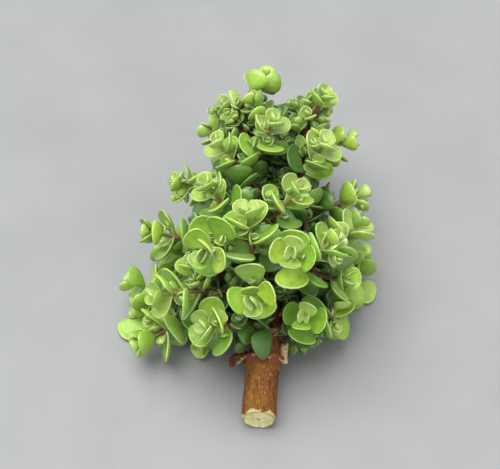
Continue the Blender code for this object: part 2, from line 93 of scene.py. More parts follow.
def bezier(start: Vector, middle: Vector, end: Vector, count: int) -> Path:
    """A quadratic Bezier curve, as points that are evenly spaced in its parameter.

    Args:
        start: First point.
        middle: Control point.
        end: Last point.
        count: How many points.

    Returns:
        The points.
    """
    points = []
    for i in range(count):
        t = i / (count - 1)
        points.append(start * (1 - t) ** 2 + middle * 2 * t * (1 - t) + end * t**2)
    return points


def blend(first: float, last: float, share: float) -> float:
    """The value at a share of the way from the first to the last."""
    return first + (last - first) * share


def scatter(chance: Random, spread: float) -> Vector:
    """A random shift with the same standard deviation along each axis."""
    return Vector([chance.gauss(0, spread) for _ in range(3)])


def along_path(points: Path, distance: float) -> tuple[Vector, Vector]:
    """The place at a distance along a polyline, which runs straight on past its end.

    Args:
        points: The polyline.
        distance: How far along it.

    Returns:
        The point and the direction there.
    """
    for a, b in zip(points, points[1:]):
        step = (b - a).length
        if distance <= step:
            return a.lerp(b, max(distance, 0) / step), (b - a).normalized()
        distance -= step
    last = (points[-1] - points[-2]).normalized()
    return points[-1] + last * distance, last


def path_length(points: Path) -> float:
    """Length of a polyline."""
    return sum((b - a).length for a, b in zip(points, points[1:]))


def radius_at(radii: Radii, share: float) -> float:
    """Radius at a share of the way along evenly spread radii."""
    at = share * (len(radii) - 1)
    low = min(int(at), len(radii) - 2)
    return blend(radii[low], radii[low + 1], at - low)


def beads(points: Path, radii: Radii, step: float = 1.2 * MM) -> list[tuple[Vector, float, float]]:
    """Closely spaced balls along a path, which stand for its tube.

    Args:
        points: The path.
        radii: Radii evenly spread over it.
        step: Their rough spacing.

    Returns:
        (centre, radius, distance along the path) of each ball.
    """
    found, gone = [], 0.0
    for i, (a, b) in enumerate(zip(points, points[1:])):
        length = (b - a).length
        count = max(1, round(length / step))
        for k in range(count + (i == len(points) - 2)):
            share = k / count
            radius = radius_at(radii, (i + share) / (len(points) - 1))
            found.append((a.lerp(b, share), radius, gone + share * length))
        gone += length
    return found


def smooth_path(points: Path, radii: Radii, step: float) -> tuple[Path, list[float]]:
    """A smooth curve through a path's points (Catmull-Rom), with its radii.

    Args:
        points: The path.
        radii: Radii evenly spread over it.
        step: Rough spacing of the new points.

    Returns:
        The new points and a radius for each.
    """
    ends = [points[0] * 2 - points[1], *points, points[-1] * 2 - points[-2]]
    sizes = [radius_at(radii, i / (len(points) - 1)) for i in range(len(points))]
    made, radii_made = [], []
    for i in range(len(points) - 1):
        a, b, c, d = ends[i : i + 4]
        count = max(1, round((c - b).length / step))
        for k in range(count + (i == len(points) - 2)):
            t = k / count
            bend = (a * -1 + b * 3 - c * 3 + d) * t**3 + (a * 2 - b * 5 + c * 4 - d) * t**2
            made.append((bend + (c - a) * t) * 0.5 + b)
            radii_made.append(blend(sizes[i], sizes[i + 1], t))
    return made, radii_made


def bumps(x: float, y: float, z: float) -> float:
    """Smooth noise at a place."""
    return noise.noise(Vector((x, y, z)))


def smoothstep(low: float, high: float, value: float) -> float:
    """0 below low, 1 above high, and a smooth rise between."""
    share = min(max((value - low) / (high - low), 0.0), 1.0)
    return share * share * (3 - 2 * share)


# ---- layout: wood

@dataclass(frozen=True)
class TrunkAxis:
    """The trunk's straight axis, from the centre of its cut end up towards the crown."""

    tilt: float = radians(14)
    base_radius: float = 7.1 * MM

    @cached_property
    def along(self) -> Vector:
        """Direction from the cut end to the crown's top."""
        return Vector((0, cos(self.tilt), sin(self.tilt)))

    @cached_property
    def lift(self) -> Vector:
        """Direction square to the axis, upwards."""
        return Vector((0, -sin(self.tilt), cos(self.tilt)))

    @cached_property
    def base(self) -> Vector:
        """Centre of the cut end."""
        return Vector((0, 0, self.base_radius * cos(self.tilt)))

    def out(self, turn: float) -> Vector:
        """Direction square to the axis at a turn round it (0 is up)."""
        return SIDE * sin(turn) + self.lift * cos(turn)

    def at(self, along: float, side: float, lift: float) -> Vector:
        """The point at a distance along the axis and offsets from it."""
        return self.base + self.along * along + SIDE * side + self.lift * lift

    def round(self, along: float, radius: float, turn: float) -> Vector:
        """The point at a distance along the axis, a radius and a direction round it (0 is up)."""
        return self.at(along, radius * sin(turn), radius * cos(turn))

    def place_of(self, point: Vector) -> Triple:
        """(distance along the axis, radius from it, direction round it) of a point."""
        off = point - self.base
        side, lift = off.dot(SIDE), off.dot(self.lift)
        return off.dot(self.along), hypot(side, lift), atan2(side, lift)


@dataclass(frozen=True)
class Crown:
    """The surface that the leafy stems' tips reach."""

    axis: TrunkAxis
    low: float = 32 * MM
    top: float = 160 * MM
    radius: float = 51 * MM
    ground_room: float = 7 * MM
    one_sided: float = 0.2
    skew: float = 13 * MM
    least_radius: float = 6 * MM
    # Breadth at the lowest leaves, as a share of the full one, and how fast it grows
    low_breadth: float = 0.62
    broadening: float = 1.9
    # How blunt its top is, and how round its shoulders
    bluntness: float = 2.5
    roundness: float = 0.7

    def radius_at(self, along: float) -> float:
        """Radius of the crown at a distance along the trunk."""
        share = min(max((along - self.low) / (self.top - self.low), 0.0), 1.0)
        closed = (1 - share**self.bluntness) ** self.roundness
        return self.radius * closed * min(1.0, self.low_breadth + self.broadening * share)

    def lean(self, along: float, turn: float) -> float:
        """The crown's breadth as a share of its mean, in a direction round the trunk."""
        share = min(max(along / self.top, 0.0), 1.0)
        return 1 - self.one_sided * (1 - share**2) * sin(turn)

    def hold(self, point: Vector) -> Vector:
        """The point, or the nearest place for a tip within the crown and above the surface."""
        along, radius, turn = self.axis.place_of(point)
        skew = self.skew * sin(turn)
        along = min(max(along, self.low + skew), self.top)
        widest = max(self.radius_at(along - skew) * self.lean(along, turn), self.least_radius)
        point = self.axis.round(along, min(radius, widest), turn)
        point.z = max(point.z, self.ground_room)
        return point


class LimbKind(Enum):
    """The kinds of woody limb."""

    TRUNK = "trunk"
    STUB = "stub"
    BOUGH = "bough"
    LEADER = "leader"


class Limb(NamedTuple):
    """A woody limb: its centre line's points, and radii evenly spread over them."""

    points: Path
    radii: list[float]
    kind: LimbKind


class Seat(NamedTuple):
    """Where a leafy stem sits: a point on a limb's centre line, a direction, and the limb's radius there.

    The radius is None at a bough's end, where the stem carries straight on.
    """

    point: Vector
    heading: Vector
    radius: float | None


@dataclass(frozen=True)
class WoodLayout:
    """Centre lines of the trunk, its two pruned leaders, the boughs and the dried stubs."""

    axis: TrunkAxis
    crown: Crown
    ring_at: float = 28 * MM
    ring_radius: float = 8.2 * MM
    neck_radius: float = 6.1 * MM
    fork_at: float = 77 * MM
    fork_radius: float = 4.9 * MM
    leader_end_radius: float = 2.4 * MM
    leader_root: float = 0.9  # share of the fork's radius
    leader_sunk: float = 7 * MM  # its start, below the fork
    leader_bend: float = 14 * MM  # its bend, above the fork
    leader_bend_side: float = 0.45
    fork_side: float = 2.1 * MM
    # (distance along the axis, offset to the side, offset upwards)
    leader_ends: tuple = ((140 * MM, -15 * MM, 11 * MM), (135 * MM, 16 * MM, 12 * MM))
    stub_root: float = 3 * MM
    stub_slope: float = 2 * MM
    stub_sunk: float = 1 * MM
    stub_flare: float = 1.3
    # (mm along the trunk, degrees round it, length and radius in mm)
    stubs: tuple = ((27, -98, 4.5, 1.3), (30, 80, 3.0, 1.8), (32, 160, 2.5, 1.5))
    # (mm along the trunk, direction of the pair's first bough in degrees)
    bough_nodes: tuple = ((39, 84), (48, -8), (59, 62), (70, -28))
    bough_reach: float = 27 * MM
    bough_root_radius: float = 2.9 * MM
    bough_end_radius: float = 1.7 * MM
    bough_shares: tuple = (0.5, 0.82)
    leader_shares: tuple = (0.28, 0.5, 0.7, 0.9)
    bough_turn: float = 0.2
    leader_turn: float = 0.4
    side_lean: float = 0.65
    low_reach: float = 0.5
    bough_side: float = 2 * MM
    # A bough's bend, along the trunk and out from it, as shares of its reach
    bough_bend: tuple = (0.10, 0.62)
    # A bough's sweep along the trunk in the air and near the surface, as shares of its reach
    sweeps: tuple = (0.34, 1.1)
    shoot_side: float = 1.5 * MM
    # (mm along the trunk, degrees round it, lean back to the cut end)
    trunk_shoots: tuple = ((39, 26, 0.05), (40, -40, 0.12))
    # (bough, seat's share of its length, place of the tip on the surface)
    resting: tuple = (
        (1, 0.7, (-54 * MM, 52 * MM)),
        (0, 0.7, (37 * MM, 72 * MM)),
        (7, 0.6, (4 * MM, 112 * MM)),
    )
    rest_height: float = 1.9 * MM
    rest_drop: float = 0.2
    rest_square: float = 0.5  # how far a resting stem turns square to its bough

    def trunk(self) -> Limb:
        """The trunk up to its fork, with the swollen ring."""
        wide, at, neck = self.axis.base_radius, self.ring_at, self.neck_radius
        # (distance along the axis, offset to the side, radius)
        stations = (
            (-4 * MM, 0, wide),
            (9 * MM, 0.1 * MM, wide),
            (16 * MM, 0.4 * MM, wide * 0.98),
            (at - 6 * MM, 0.7 * MM, wide * 1.02),
            (at - 2 * MM, 0.9 * MM, self.ring_radius * 0.96),
            (at, 1.0 * MM, self.ring_radius),
            (at + 2.5 * MM, 1.1 * MM, neck * 1.15),
            (at + 6 * MM, 1.3 * MM, neck),
            (48 * MM, 2.0 * MM, neck),
            (60 * MM, 2.4 * MM, neck * 0.95),
            (self.fork_at - 6 * MM, 2.2 * MM, self.fork_radius * 1.08),
            (self.fork_at, 2.0 * MM, self.fork_radius * 0.96),
        )
        points = [self.axis.at(s, side, 0) for s, side, _ in stations]
        return Limb(points, [r for _, _, r in stations], LimbKind.TRUNK)

    def leader(self, end: Triple) -> Limb:
        """One of the two leaders, which parts from the trunk below its fork."""
        start = self.axis.at(self.fork_at - self.leader_sunk, self.fork_side, 0)
        side = self.fork_side + end[1] * self.leader_bend_side
        middle = self.axis.at(self.fork_at + self.leader_bend, side, end[2])
        points = bezier(start, middle, self.axis.at(*end), 6)
        wide = self.fork_radius * self.leader_root
        taper = self.leader_end_radius - wide
        return Limb(points, [wide + taper * i / 5 for i in range(6)], LimbKind.LEADER)

    @staticmethod
    def faces_down(turn: float) -> bool:
        """Whether a direction round the trunk is one towards the surface."""
        return cos(turn) < -0.5

    def bough(self, along: float, turn: float) -> Limb:
        """A bough, which leaves the trunk square to it and sweeps towards the crown's top.

        Args:
            along: Where it leaves, as a distance along the trunk.
            turn: Its direction round the trunk.

        Returns:
            The bough's limb.
        """
        below = self.faces_down(turn)
        reach = self.bough_reach * self.crown.lean(along, turn) * (self.low_reach if below else 1)
        start = self.axis.at(along, self.bough_side, 0)
        advance, out = self.bough_bend
        middle = self.axis.round(along + advance * reach, reach * out, turn)
        end = self.axis.round(along + self.sweeps[below] * reach, reach, turn)
        radii = [blend(self.bough_root_radius, self.bough_end_radius, i / 4) for i in range(5)]
        return Limb(bezier(start, middle, end, 5), radii, LimbKind.BOUGH)

    def side_seats(self, limb: Limb, shares: Sequence[float], turn: float) -> list[Seat]:
        """Opposite pairs of seats at shares of a limb's length, each pair a quarter turn from the last.

        Args:
            limb: The bough or leader.
            shares: Where the pairs are.
            turn: Direction of the first pair round the limb.

        Returns:
            Two seats for each share.
        """
        seats, whole = [], path_length(limb.points)
        for i, share in enumerate(shares):
            point, heading = along_path(limb.points, share * whole)
            parallel = abs(heading.dot(self.axis.along)) >= NEARLY_PARALLEL
            other = self.axis.lift if parallel else self.axis.along
            across = heading.cross(other).normalized()
            across = Quaternion(heading, turn + i * pi / 2) @ across
            radius = blend(limb.radii[0], limb.radii[-1], share)
            for sign in (1, -1):
                seats.append(Seat(point, (heading * self.side_lean + across * sign).normalized(), radius))
        return seats

    def grow(self) -> tuple[list[Limb], list[Seat]]:
        """All the limbs, the trunk first, and the seats of the leafy stems."""
        wood, seats = [self.trunk()], []
        for along, degrees, length, radius in self.stubs:
            turn = radians(degrees)
            root = self.axis.round(along * MM, self.stub_root, turn)
            end = self.ring_radius + length * MM - self.stub_sunk
            tip = self.axis.round(along * MM - self.stub_slope, end, turn)
            wood.append(Limb([root, tip], [radius * self.stub_flare * MM, radius * MM], LimbKind.STUB))
        for along, degrees, back in self.trunk_shoots:
            turn = radians(degrees)
            point = self.axis.at(along * MM, self.shoot_side, 0)
            heading = self.axis.out(turn) - self.axis.along * back
            seats.append(Seat(point, heading.normalized(), self.neck_radius))
        for along, first in self.bough_nodes:
            for opposite in (0, 180):
                turn = radians(first + opposite)
                limb = self.bough(along * MM, turn)
                wood.append(limb)
                seats += self.side_seats(limb, self.bough_shares[self.faces_down(turn) :], self.bough_turn)
                tip = (limb.points[-1] - limb.points[-2]).normalized()
                seats.append(Seat(limb.points[-1], tip, None))
        for end in self.leader_ends:
            limb = self.leader(end)
            wood.append(limb)
            seats += self.side_seats(limb, self.leader_shares, self.leader_turn)
        return wood, seats

    def resting_seats(self, wood: list[Limb]) -> list[tuple[Seat, Vector]]:
        """The seats of the stems that come down to the surface.

        Args:
            wood: The limbs.

        Returns:
            Each seat with the place of its stem's tip.
        """
        boughs = wood[1 + len(self.stubs) :]
        seats = []
        for index, share, (x, y) in self.resting:
            points, radii, _ = boughs[index]
            point, along = along_path(points, share * path_length(points))
            tip = Vector((x, y, self.rest_height))
            down = (tip - point).normalized()
            square = down - along * down.dot(along) * self.rest_square
            heading = (square - Vector((0, 0, self.rest_drop))).normalized()
            seats.append((Seat(point, heading, blend(radii[0], radii[-1], share)), tip))
        return seats


# ---- layout: stems

class Room:
    """The tubes that are in place, as beads."""

    STEP = 1.5 * MM  # between the points of a path that are tested
    ROOT = 4 * MM  # length of a path that may be near what carries it
    ROOT_GAP = 0.2 * MM

    def __init__(self, gap: float) -> None:
        """Starts empty. The gap is what a stem keeps to any other."""
        self.gap = gap
        self.beads: list[tuple[Vector, float, Owner, float]] = []

    def add(self, owner: Owner, points: Path, radii: Radii) -> None:
        """Takes a tube in as placed."""
        self.beads += [(p, r, owner, at) for p, r, at in beads(points, radii)]

    def add_wood(self, wood: list[Limb]) -> None:
        """Takes all the limbs in as placed."""
        for points, radii, _ in wood:
            self.add("wood", points, radii)

    def free(self, points: Path, radii: Radii, skip: Owner) -> bool:
        """Whether a path is clear of every tube, except near its own root.

        Args:
            points: The path.
            radii: Radii evenly spread over it.
            skip: Owner of the tube that carries it.

        Returns:
            Whether it is clear.
        """
        for point, radius, at in beads(points, radii, self.STEP):
            if point.z < radius + self.gap:
                return False
            room = self.gap if at > self.ROOT else self.ROOT_GAP
            for other, wide, owner, _ in self.beads:
                if owner == skip and at < self.ROOT:
                    continue
                if (other - point).length < radius + wide + room:
                    return False
        return True


class Stem(NamedTuple):
    """A leafy stem: the spur that it is seated on, as two points or none, and its own points."""

    spur: Path
    points: Path


@dataclass(frozen=True)
class StemLayout:
    """Centre lines of the leafy stems, bent clear of all other wood and of each other."""

    crown: Crown
    spur_length: float = 3 * MM
    seat_gap: float = 0.3 * MM
    # Radii of a stem at its root and tip, and of a spur at its root and end
    radii: tuple = (1.25 * MM, 0.75 * MM)
    spur_radii: tuple = (1.25 * MM * 1.3, 1.25 * MM * 1.15)
    shortest: float = 13 * MM
    longest: float = 38 * MM
    bow: float = 0.42
    tries: int = 200
    tip_shift: float = 0.12 * MM
    tip_spacing: float = 25 * MM
    spread_rounds: int = 40
    # How strongly a tip is drawn back to its natural place, and pushed by a near one
    pull: float = 0.05
    push: float = 0.12
    reach_step: float = 1 * MM
    wood_room: float = 0.7 * MM
    straight: float = 1.5  # mm that a stem runs on from its seat before it bends

    def reach(self, point: Vector, heading: Vector) -> float:
        """How far a stem runs from a seat before its tip meets the crown's surface or nears the ground."""
        distance = self.shortest
        while distance < self.longest:
            tip = point + heading * distance
            if (self.crown.hold(tip) - tip).length > 0.1 * MM:
                break
            distance += self.reach_step
        return distance

    def spread_tips(self, seats: list[Seat]) -> list[Vector]:
        """Tips of the stems, pushed apart as shoots are that seek the light.

        Args:
            seats: The stems' seats.

        Returns:
            A tip for each.
        """
        natural = [p + h * self.reach(p, h) for p, h, _ in seats]
        tips = [t.copy() for t in natural]
        for _ in range(self.spread_rounds):
            moved = []
            for i, tip in enumerate(tips):
                push = (natural[i] - tip) * self.pull
                for j, other in enumerate(tips):
                    gap = (tip - other).length
                    if i != j and gap < self.tip_spacing:
                        away = (tip - other) / max(gap, 1 * MM)
                        push += away * (self.tip_spacing - gap) * self.push
                moved.append(self.crown.hold(tip + push))
            tips = moved
        return tips

    def curve(self, start: Vector, heading: Vector, bow: Vector, end: Vector, count: int) -> Path:
        """A stem's points: straight on from its start, then by way of its bow to its end."""
        return [start] + bezier(start + heading * self.straight * MM, bow, end, count)

    def grow(
        self, seats: list[Seat], resting: list[tuple[Seat, Vector]], wood: list[Limb]
    ) -> dict[str, Stem]:
        """Every stem by its node's name, the resting stems first.

        Args:
            seats: Seats of the stems that reach for the crown's surface.
            resting: Seat and tip of each stem that comes down to the ground.
            wood: The limbs.

        Returns:
            The stems that found room.
        """
        chance = Random(SEED)
        room = Room(self.wood_room)
        room.add_wood(wood)
        spurs = []
        for i, (point, heading, wide) in enumerate([seat for seat, _ in resting] + seats):
            spur = [] if wide is None else [point, point + heading * (wide + self.spur_length)]
            if spur:
                room.add(i, spur, self.spur_radii)
            spurs.append(spur)
        stems = {}
        for i, ((point, heading, _), tip) in enumerate(resting):
            start = spurs[i][1] + heading * self.seat_gap
            level = Vector((tip.x - start.x, tip.y - start.y, 0)).normalized()
            bow = tip - level * (tip - start).length * 0.5
            path = self.curve(start, heading, bow, tip, 5)
            name = f"resting_stem_{i + 1}"
            room.add(name, path, self.radii)
            stems[name] = Stem(spurs[i], path)
        for i, ((point, heading, _), tip) in enumerate(zip(seats, self.spread_tips(seats)), len(resting)):
            start = (spurs[i][1] if spurs[i] else point) + heading * self.seat_gap
            for attempt in range(self.tries):
                aim = tip + scatter(chance, 1) * attempt * self.tip_shift
                reach = (aim - start).length
                length = min(max(reach, self.shortest), self.longest)
                end = start + (aim - start) * (length / reach)
                end.z = max(end.z, self.crown.ground_room)
                bow = start + heading * length * self.bow
                path = self.curve(start, heading, bow, end, 4)
                if room.free(path, self.radii, i if spurs[i] else "wood"):
                    break
            else:
                continue
            name = f"leafy_stem_{len(stems) + 1 - len(resting):02d}"
            room.add(name, path, self.radii)
            stems[name] = Stem(spurs[i], path)
        return stems


# ---- layout: leaves

class Leaf(NamedTuple):
    """A leaf's sizes, and its frame: root at the origin, tip along +X, upper side up."""

    length: float
    breadth: float
    thickness: float
    cup: float
    lift: float
    frame: Matrix
    rank: int

    def centre(self) -> Vector:
        """The middle of the leaf."""
        return self.frame @ Vector((self.length / 2, 0, 0))

    def reach(self) -> float:
        """Radius round the centre that holds the whole leaf."""
        return self.length * 0.62


@dataclass
class Canopy:
    """The leaves and stems that are in place, and whether a new leaf is clear of them."""

    samples: list
    round_from: float
    clearance: float
    ground_room: float = 0.4 * MM
    root_share: float = 0.25  # share of a leaf that may meet its own stem's leaves
    own_stem: float = 5 * MM  # how much of its own stem a leaf may be near, to each side
    widest_bead: float = 8 * MM
    stem_room: float = 0.1 * MM
    leaves: list = field(default_factory=list)
    tree: KDTree = field(init=False)

    def __post_init__(self) -> None:
        """Sorts the beads of the wood and stems by place."""
        self.tree = KDTree(len(self.samples))
        for i, sample in enumerate(self.samples):
            self.tree.insert(sample[0], i)
        self.tree.balance()

    @staticmethod
    @cache
    def unit_ball(sides: int) -> tuple[Path, Faces]:
        """Points and faces of a coarse ball of radius 1."""
        ball = bmesh.new()
        bmesh.ops.create_uvsphere(ball, u_segments=sides, v_segments=2, radius=1)
        made = [v.co.copy() for v in ball.verts], [[v.index for v in f.verts] for f in ball.faces]
        ball.free()
        return made

    def hull(self, leaf: Leaf, margin: float = 0.0) -> tuple[Path, Faces]:
        """Points and faces of a leaf's coarse solid, grown all round by a margin."""
        unit, faces = self.unit_ball(8 if leaf.length > self.round_from else 6)
        return [leaf.frame @ self.hull_point(leaf, point, margin) for point in unit], faces

    @staticmethod
    def hull_point(leaf: Leaf, unit: Vector, margin: float) -> Vector:
        """Where a point of a coarse unit sphere goes on a leaf.

        Args:
            leaf: The leaf, which is wedge-shaped and fuller underneath.
            unit: The point on the sphere.
            margin: How much the leaf is grown all round.

        Returns:
            The point on the leaf, in its own frame.
        """
        length, breadth = leaf.length + margin, leaf.breadth + 2 * margin
        thickness = leaf.thickness + 2 * margin
        if abs(unit.z) > NEARLY_PARALLEL:  # a pole
            x, y = 0.5, 0.0
            below = 0 if leaf.lift else -0.58
            z = thickness * (below + 1 if unit.z > 0 else below)
        else:
            turn = atan2(unit.y, -unit.x)
            x = 0.5 - 0.5 * cos(turn)
            y = 0.5 * breadth / length * sin(turn) * x**0.7 * 1.4
            z = leaf.lift if x < 0.01 else 0
        return Vector((x * length, y * length, z + leaf.cup * length * (2 * x - 1) ** 2))

    def clear(self, owner: str, at: float, leaf: Leaf) -> bool:
        """Whether a leaf keeps its clearance from all that is in place.

        Args:
            owner: Name of the stem that it stands on.
            at: Distance along that stem.
            leaf: The leaf.

        Returns:
            Whether it is clear.
        """
        wide, faces = self.hull(leaf, self.clearance)
        if min(p.z for p in wide) < self.ground_room and not leaf.lift:
            return False
        whole = BVHTree.FromPolygons(wide, faces)
        root = leaf.frame.translation
        outer = [i for i, p in enumerate(wide) if (p - root).length > self.root_share * leaf.length]
        blade = BVHTree.FromPolygons(wide, [f for f in faces if all(i in outer for i in f)])
        centre, reach = leaf.centre(), leaf.reach()
        for point, i, _ in self.tree.find_range(centre, reach + self.widest_bead):
            _, radius, name, along = self.samples[i]
            if name == owner and abs(along - at) < self.own_stem:
                continue
            if whole.find_nearest(point, radius + self.stem_room)[0] is not None:
                return False
        for name, other_centre, other_reach, other_whole in self.leaves:
            if (other_centre - centre).length_squared > (reach + other_reach) ** 2:
                continue
            if (blade if name == owner else whole).overlap(other_whole):
                return False
        return True

    def add(self, owner: str, leaf: Leaf) -> None:
        """Takes a leaf in as placed."""
        self.leaves.append((owner, leaf.centre(), leaf.reach(), BVHTree.FromPolygons(*self.hull(leaf))))


@dataclass(frozen=True)
class Search:
    """How a leaf varies from try to try while it looks for room.

    Each pair of deviations, in radians, is that of the first try and what the last one adds. The thickness is
    a share of the full one, and what a leaf of the full length adds.
    """

    tries: int = 40
    small_after: float = 0.25
    shrink: float = 0.45
    size: tuple = (0.95, 1.05)
    spread: tuple = (0.08, 0.30)
    around: tuple = (0.10, 0.45)
    twist: tuple = (0.10, 0.55)
    breadth: tuple = (0.92, 1.08)
    thickness: tuple = (0.55, 0.45)


@dataclass
class LeafLayout:
    """Places of the leaves: opposite pairs on each stem, each pair a quarter turn from the last."""

    axis: TrunkAxis
    stem_sizes: StemLayout
    search: Search = Search()
    node_gaps: tuple = (2.2, 4.2, 5.6, 6.6, 7.2)
    lengths: tuple = (9.2, 12.4, 14.4, 15.2, 15.6)
    spreads: tuple = (42, 52, 60, 66, 70)
    low_size: float = 1.04
    top_size: float = 0.72
    sizes_from: float = 50 * MM
    sizes_to: float = 150 * MM
    size_change: float = 0.07
    breadth: float = 0.86
    thickness: float = 2.3 * MM
    full_length: float = 15 * MM
    cup: float = 0.05
    round_from: float = 12 * MM
    root: float = 0.3 * MM
    clearance: float = 0.3 * MM
    bare: float = 3 * MM
    rest_leaf: float = 14.5 * MM
    rest_spread: float = radians(62)
    chance: Random = field(default_factory=lambda: Random(SEED))
    canopy: Canopy = field(init=False)
    # (leaf pairs from the tip inwards, direction of the first, size) of each stem
    plans: dict[str, tuple[list[tuple[float, float]], float, float]] = field(default_factory=dict)

    def stem_nodes(self, points: Path, size: float) -> list[tuple[float, float]]:
        """(distance along the stem, leaf length) of its leaf pairs, from the tip inwards."""
        whole, from_tip, nodes = path_length(points), 0.0, []
        for gap, length in zip(self.node_gaps, self.lengths):
            from_tip += gap * MM * (0.5 + 0.5 * size)
            if whole - from_tip < self.bare:
                break
            nodes.append((whole - from_tip, length * MM * size))
        return nodes

    def leaf_frame(
        self, root: Vector, heading: Vector, outward: Vector, spread: float, twist: float
    ) -> Matrix:
        """A leaf's placement, at an angle to the stem, with its upper side towards the stem's tip.

        Args:
            root: Point on the stem.
            heading: Direction of the stem there.
            outward: Direction in which the leaf stands off it.
            spread: Its angle to the stem.
            twist: Its turn about its own length.

        Returns:
            The leaf's frame.
        """
        forward = heading * cos(spread) + outward * sin(spread)
        upper = heading * sin(spread) - outward * cos(spread)
        upper = Quaternion(forward, twist) @ upper
        across = upper.cross(forward)
        turned = Matrix((forward, across, upper)).transposed().to_4x4()
        return Matrix.Translation(root - forward * self.root) @ turned

    def place_resting(self, name: str, stem: Path) -> list[Leaf]:
        """A pair of leaves at a stem's tip, flat on the surface to its left and right.

        Args:
            name: Name of the stem.
            stem: Its points.

        Returns:
            The two leaves.
        """
        at = path_length(stem) - self.node_gaps[0] * MM
        root, heading = along_path(stem, at)
        heading = Vector((heading.x, heading.y, 0)).normalized()
        across = UP.cross(heading)
        placed = []
        for sign in (1, -1):
            forward = heading * cos(self.rest_spread) + across * sin(self.rest_spread) * sign
            turned = Matrix((forward, UP.cross(forward), UP)).transposed().to_4x4()
            here = Matrix.Translation((root.x, root.y, 0)) @ turned
            frame = here @ Matrix.Translation((-self.root, 0, 0))
            wide = self.rest_leaf * self.breadth
            placed.append(Leaf(self.rest_leaf, wide, self.thickness, 0, root.z, frame, 1))
            self.canopy.add(name, placed[-1])
        return placed

    def pair(
        self, name: str, at: float, path: Path, around: float, length: float, spread: float, rank: int,
        search: Search,
    ) -> list[Leaf]:
        """Places a pair of leaves, each at the first placement tried that is clear of everything.

        Args:
            name: Name of the stem.
            at: Distance along it.
            path: Points of the stem, or of the shoot on it that carries the pair.
            around: Direction round the path of the pair's first leaf.
            length: Wanted length of the leaves.
            spread: Wanted angle to the path in degrees.
            rank: The pair's number from the stem's tip.
            search: How the leaves vary.

        Returns:
            Those of the two that find room.
        """
        root, heading = along_path(path, at)
        square = heading.orthogonal().normalized()
        chance, placed = self.chance, []
        for side in (0, 1):
            for attempt in range(search.tries):
                loose = attempt / search.tries
                shrunk = 1 - search.shrink * max(0, loose - search.small_after)
                size = length * shrunk * chance.uniform(*search.size)
                spread_by, around_by, twist_by = (
                    chance.gauss(0, first + more * loose)
                    for first, more in (search.spread, search.around, search.twist)
                )
                angle, turn = radians(spread) + spread_by, around + side * pi + around_by
                breadth = size * self.breadth * chance.uniform(*search.breadth)
                least, more = search.thickness
                thickness = self.thickness * (least + more * size / self.full_length)
                outward = Quaternion(heading, turn) @ square
                frame = self.leaf_frame(root, heading, outward, angle, twist_by)
                leaf = Leaf(size, breadth, thickness, self.cup, 0, frame, rank)
                if self.canopy.clear(name, at, leaf):
                    self.canopy.add(name, leaf)
                    placed.append(leaf)
                    break
        return placed

    def grow(self, wood: list[Limb], stems: dict[str, Stem]) -> dict[str, list[Leaf]]:
        """Leaves of every stem, outermost pairs first.

        Args:
            wood: The limbs.
            stems: The stems by name.

        Returns:
            The leaves of each stem.
        """
        room = Room(0.0)
        room.add_wood(wood)
        for name, stem in stems.items():
            room.add(name, stem.points, self.stem_sizes.radii)
            if stem.spur:
                room.add("wood", stem.spur, self.stem_sizes.spur_radii)
        self.canopy = Canopy(room.beads, self.round_from, self.clearance)
        leaves = {name: [] for name in stems}
        for name, stem in stems.items():
            along, _, _ = self.axis.place_of(stem.points[-1])
            height = max(0.0, (along - self.sizes_from) / (self.sizes_to - self.sizes_from))
            size = blend(self.low_size, self.top_size, height)
            size += self.chance.uniform(-self.size_change, self.size_change)
            self.plans[name] = (self.stem_nodes(stem.points, size), self.chance.uniform(0, pi / 2), size)
            if name.startswith("resting"):
                leaves[name] += self.place_resting(name, stem.points)
        for rank, spread in enumerate(self.spreads):
            for name, (nodes, turn, _) in self.plans.items():
                if rank >= len(nodes) or (rank == 0 and name.startswith("resting")):
                    continue
                at, length = nodes[rank]
                around = turn + rank * pi / 2
                path = stems[name].points
                leaves[name] += self.pair(name, at, path, around, length, spread, rank, self.search)
        return leaves


# ---- layout: finest growth

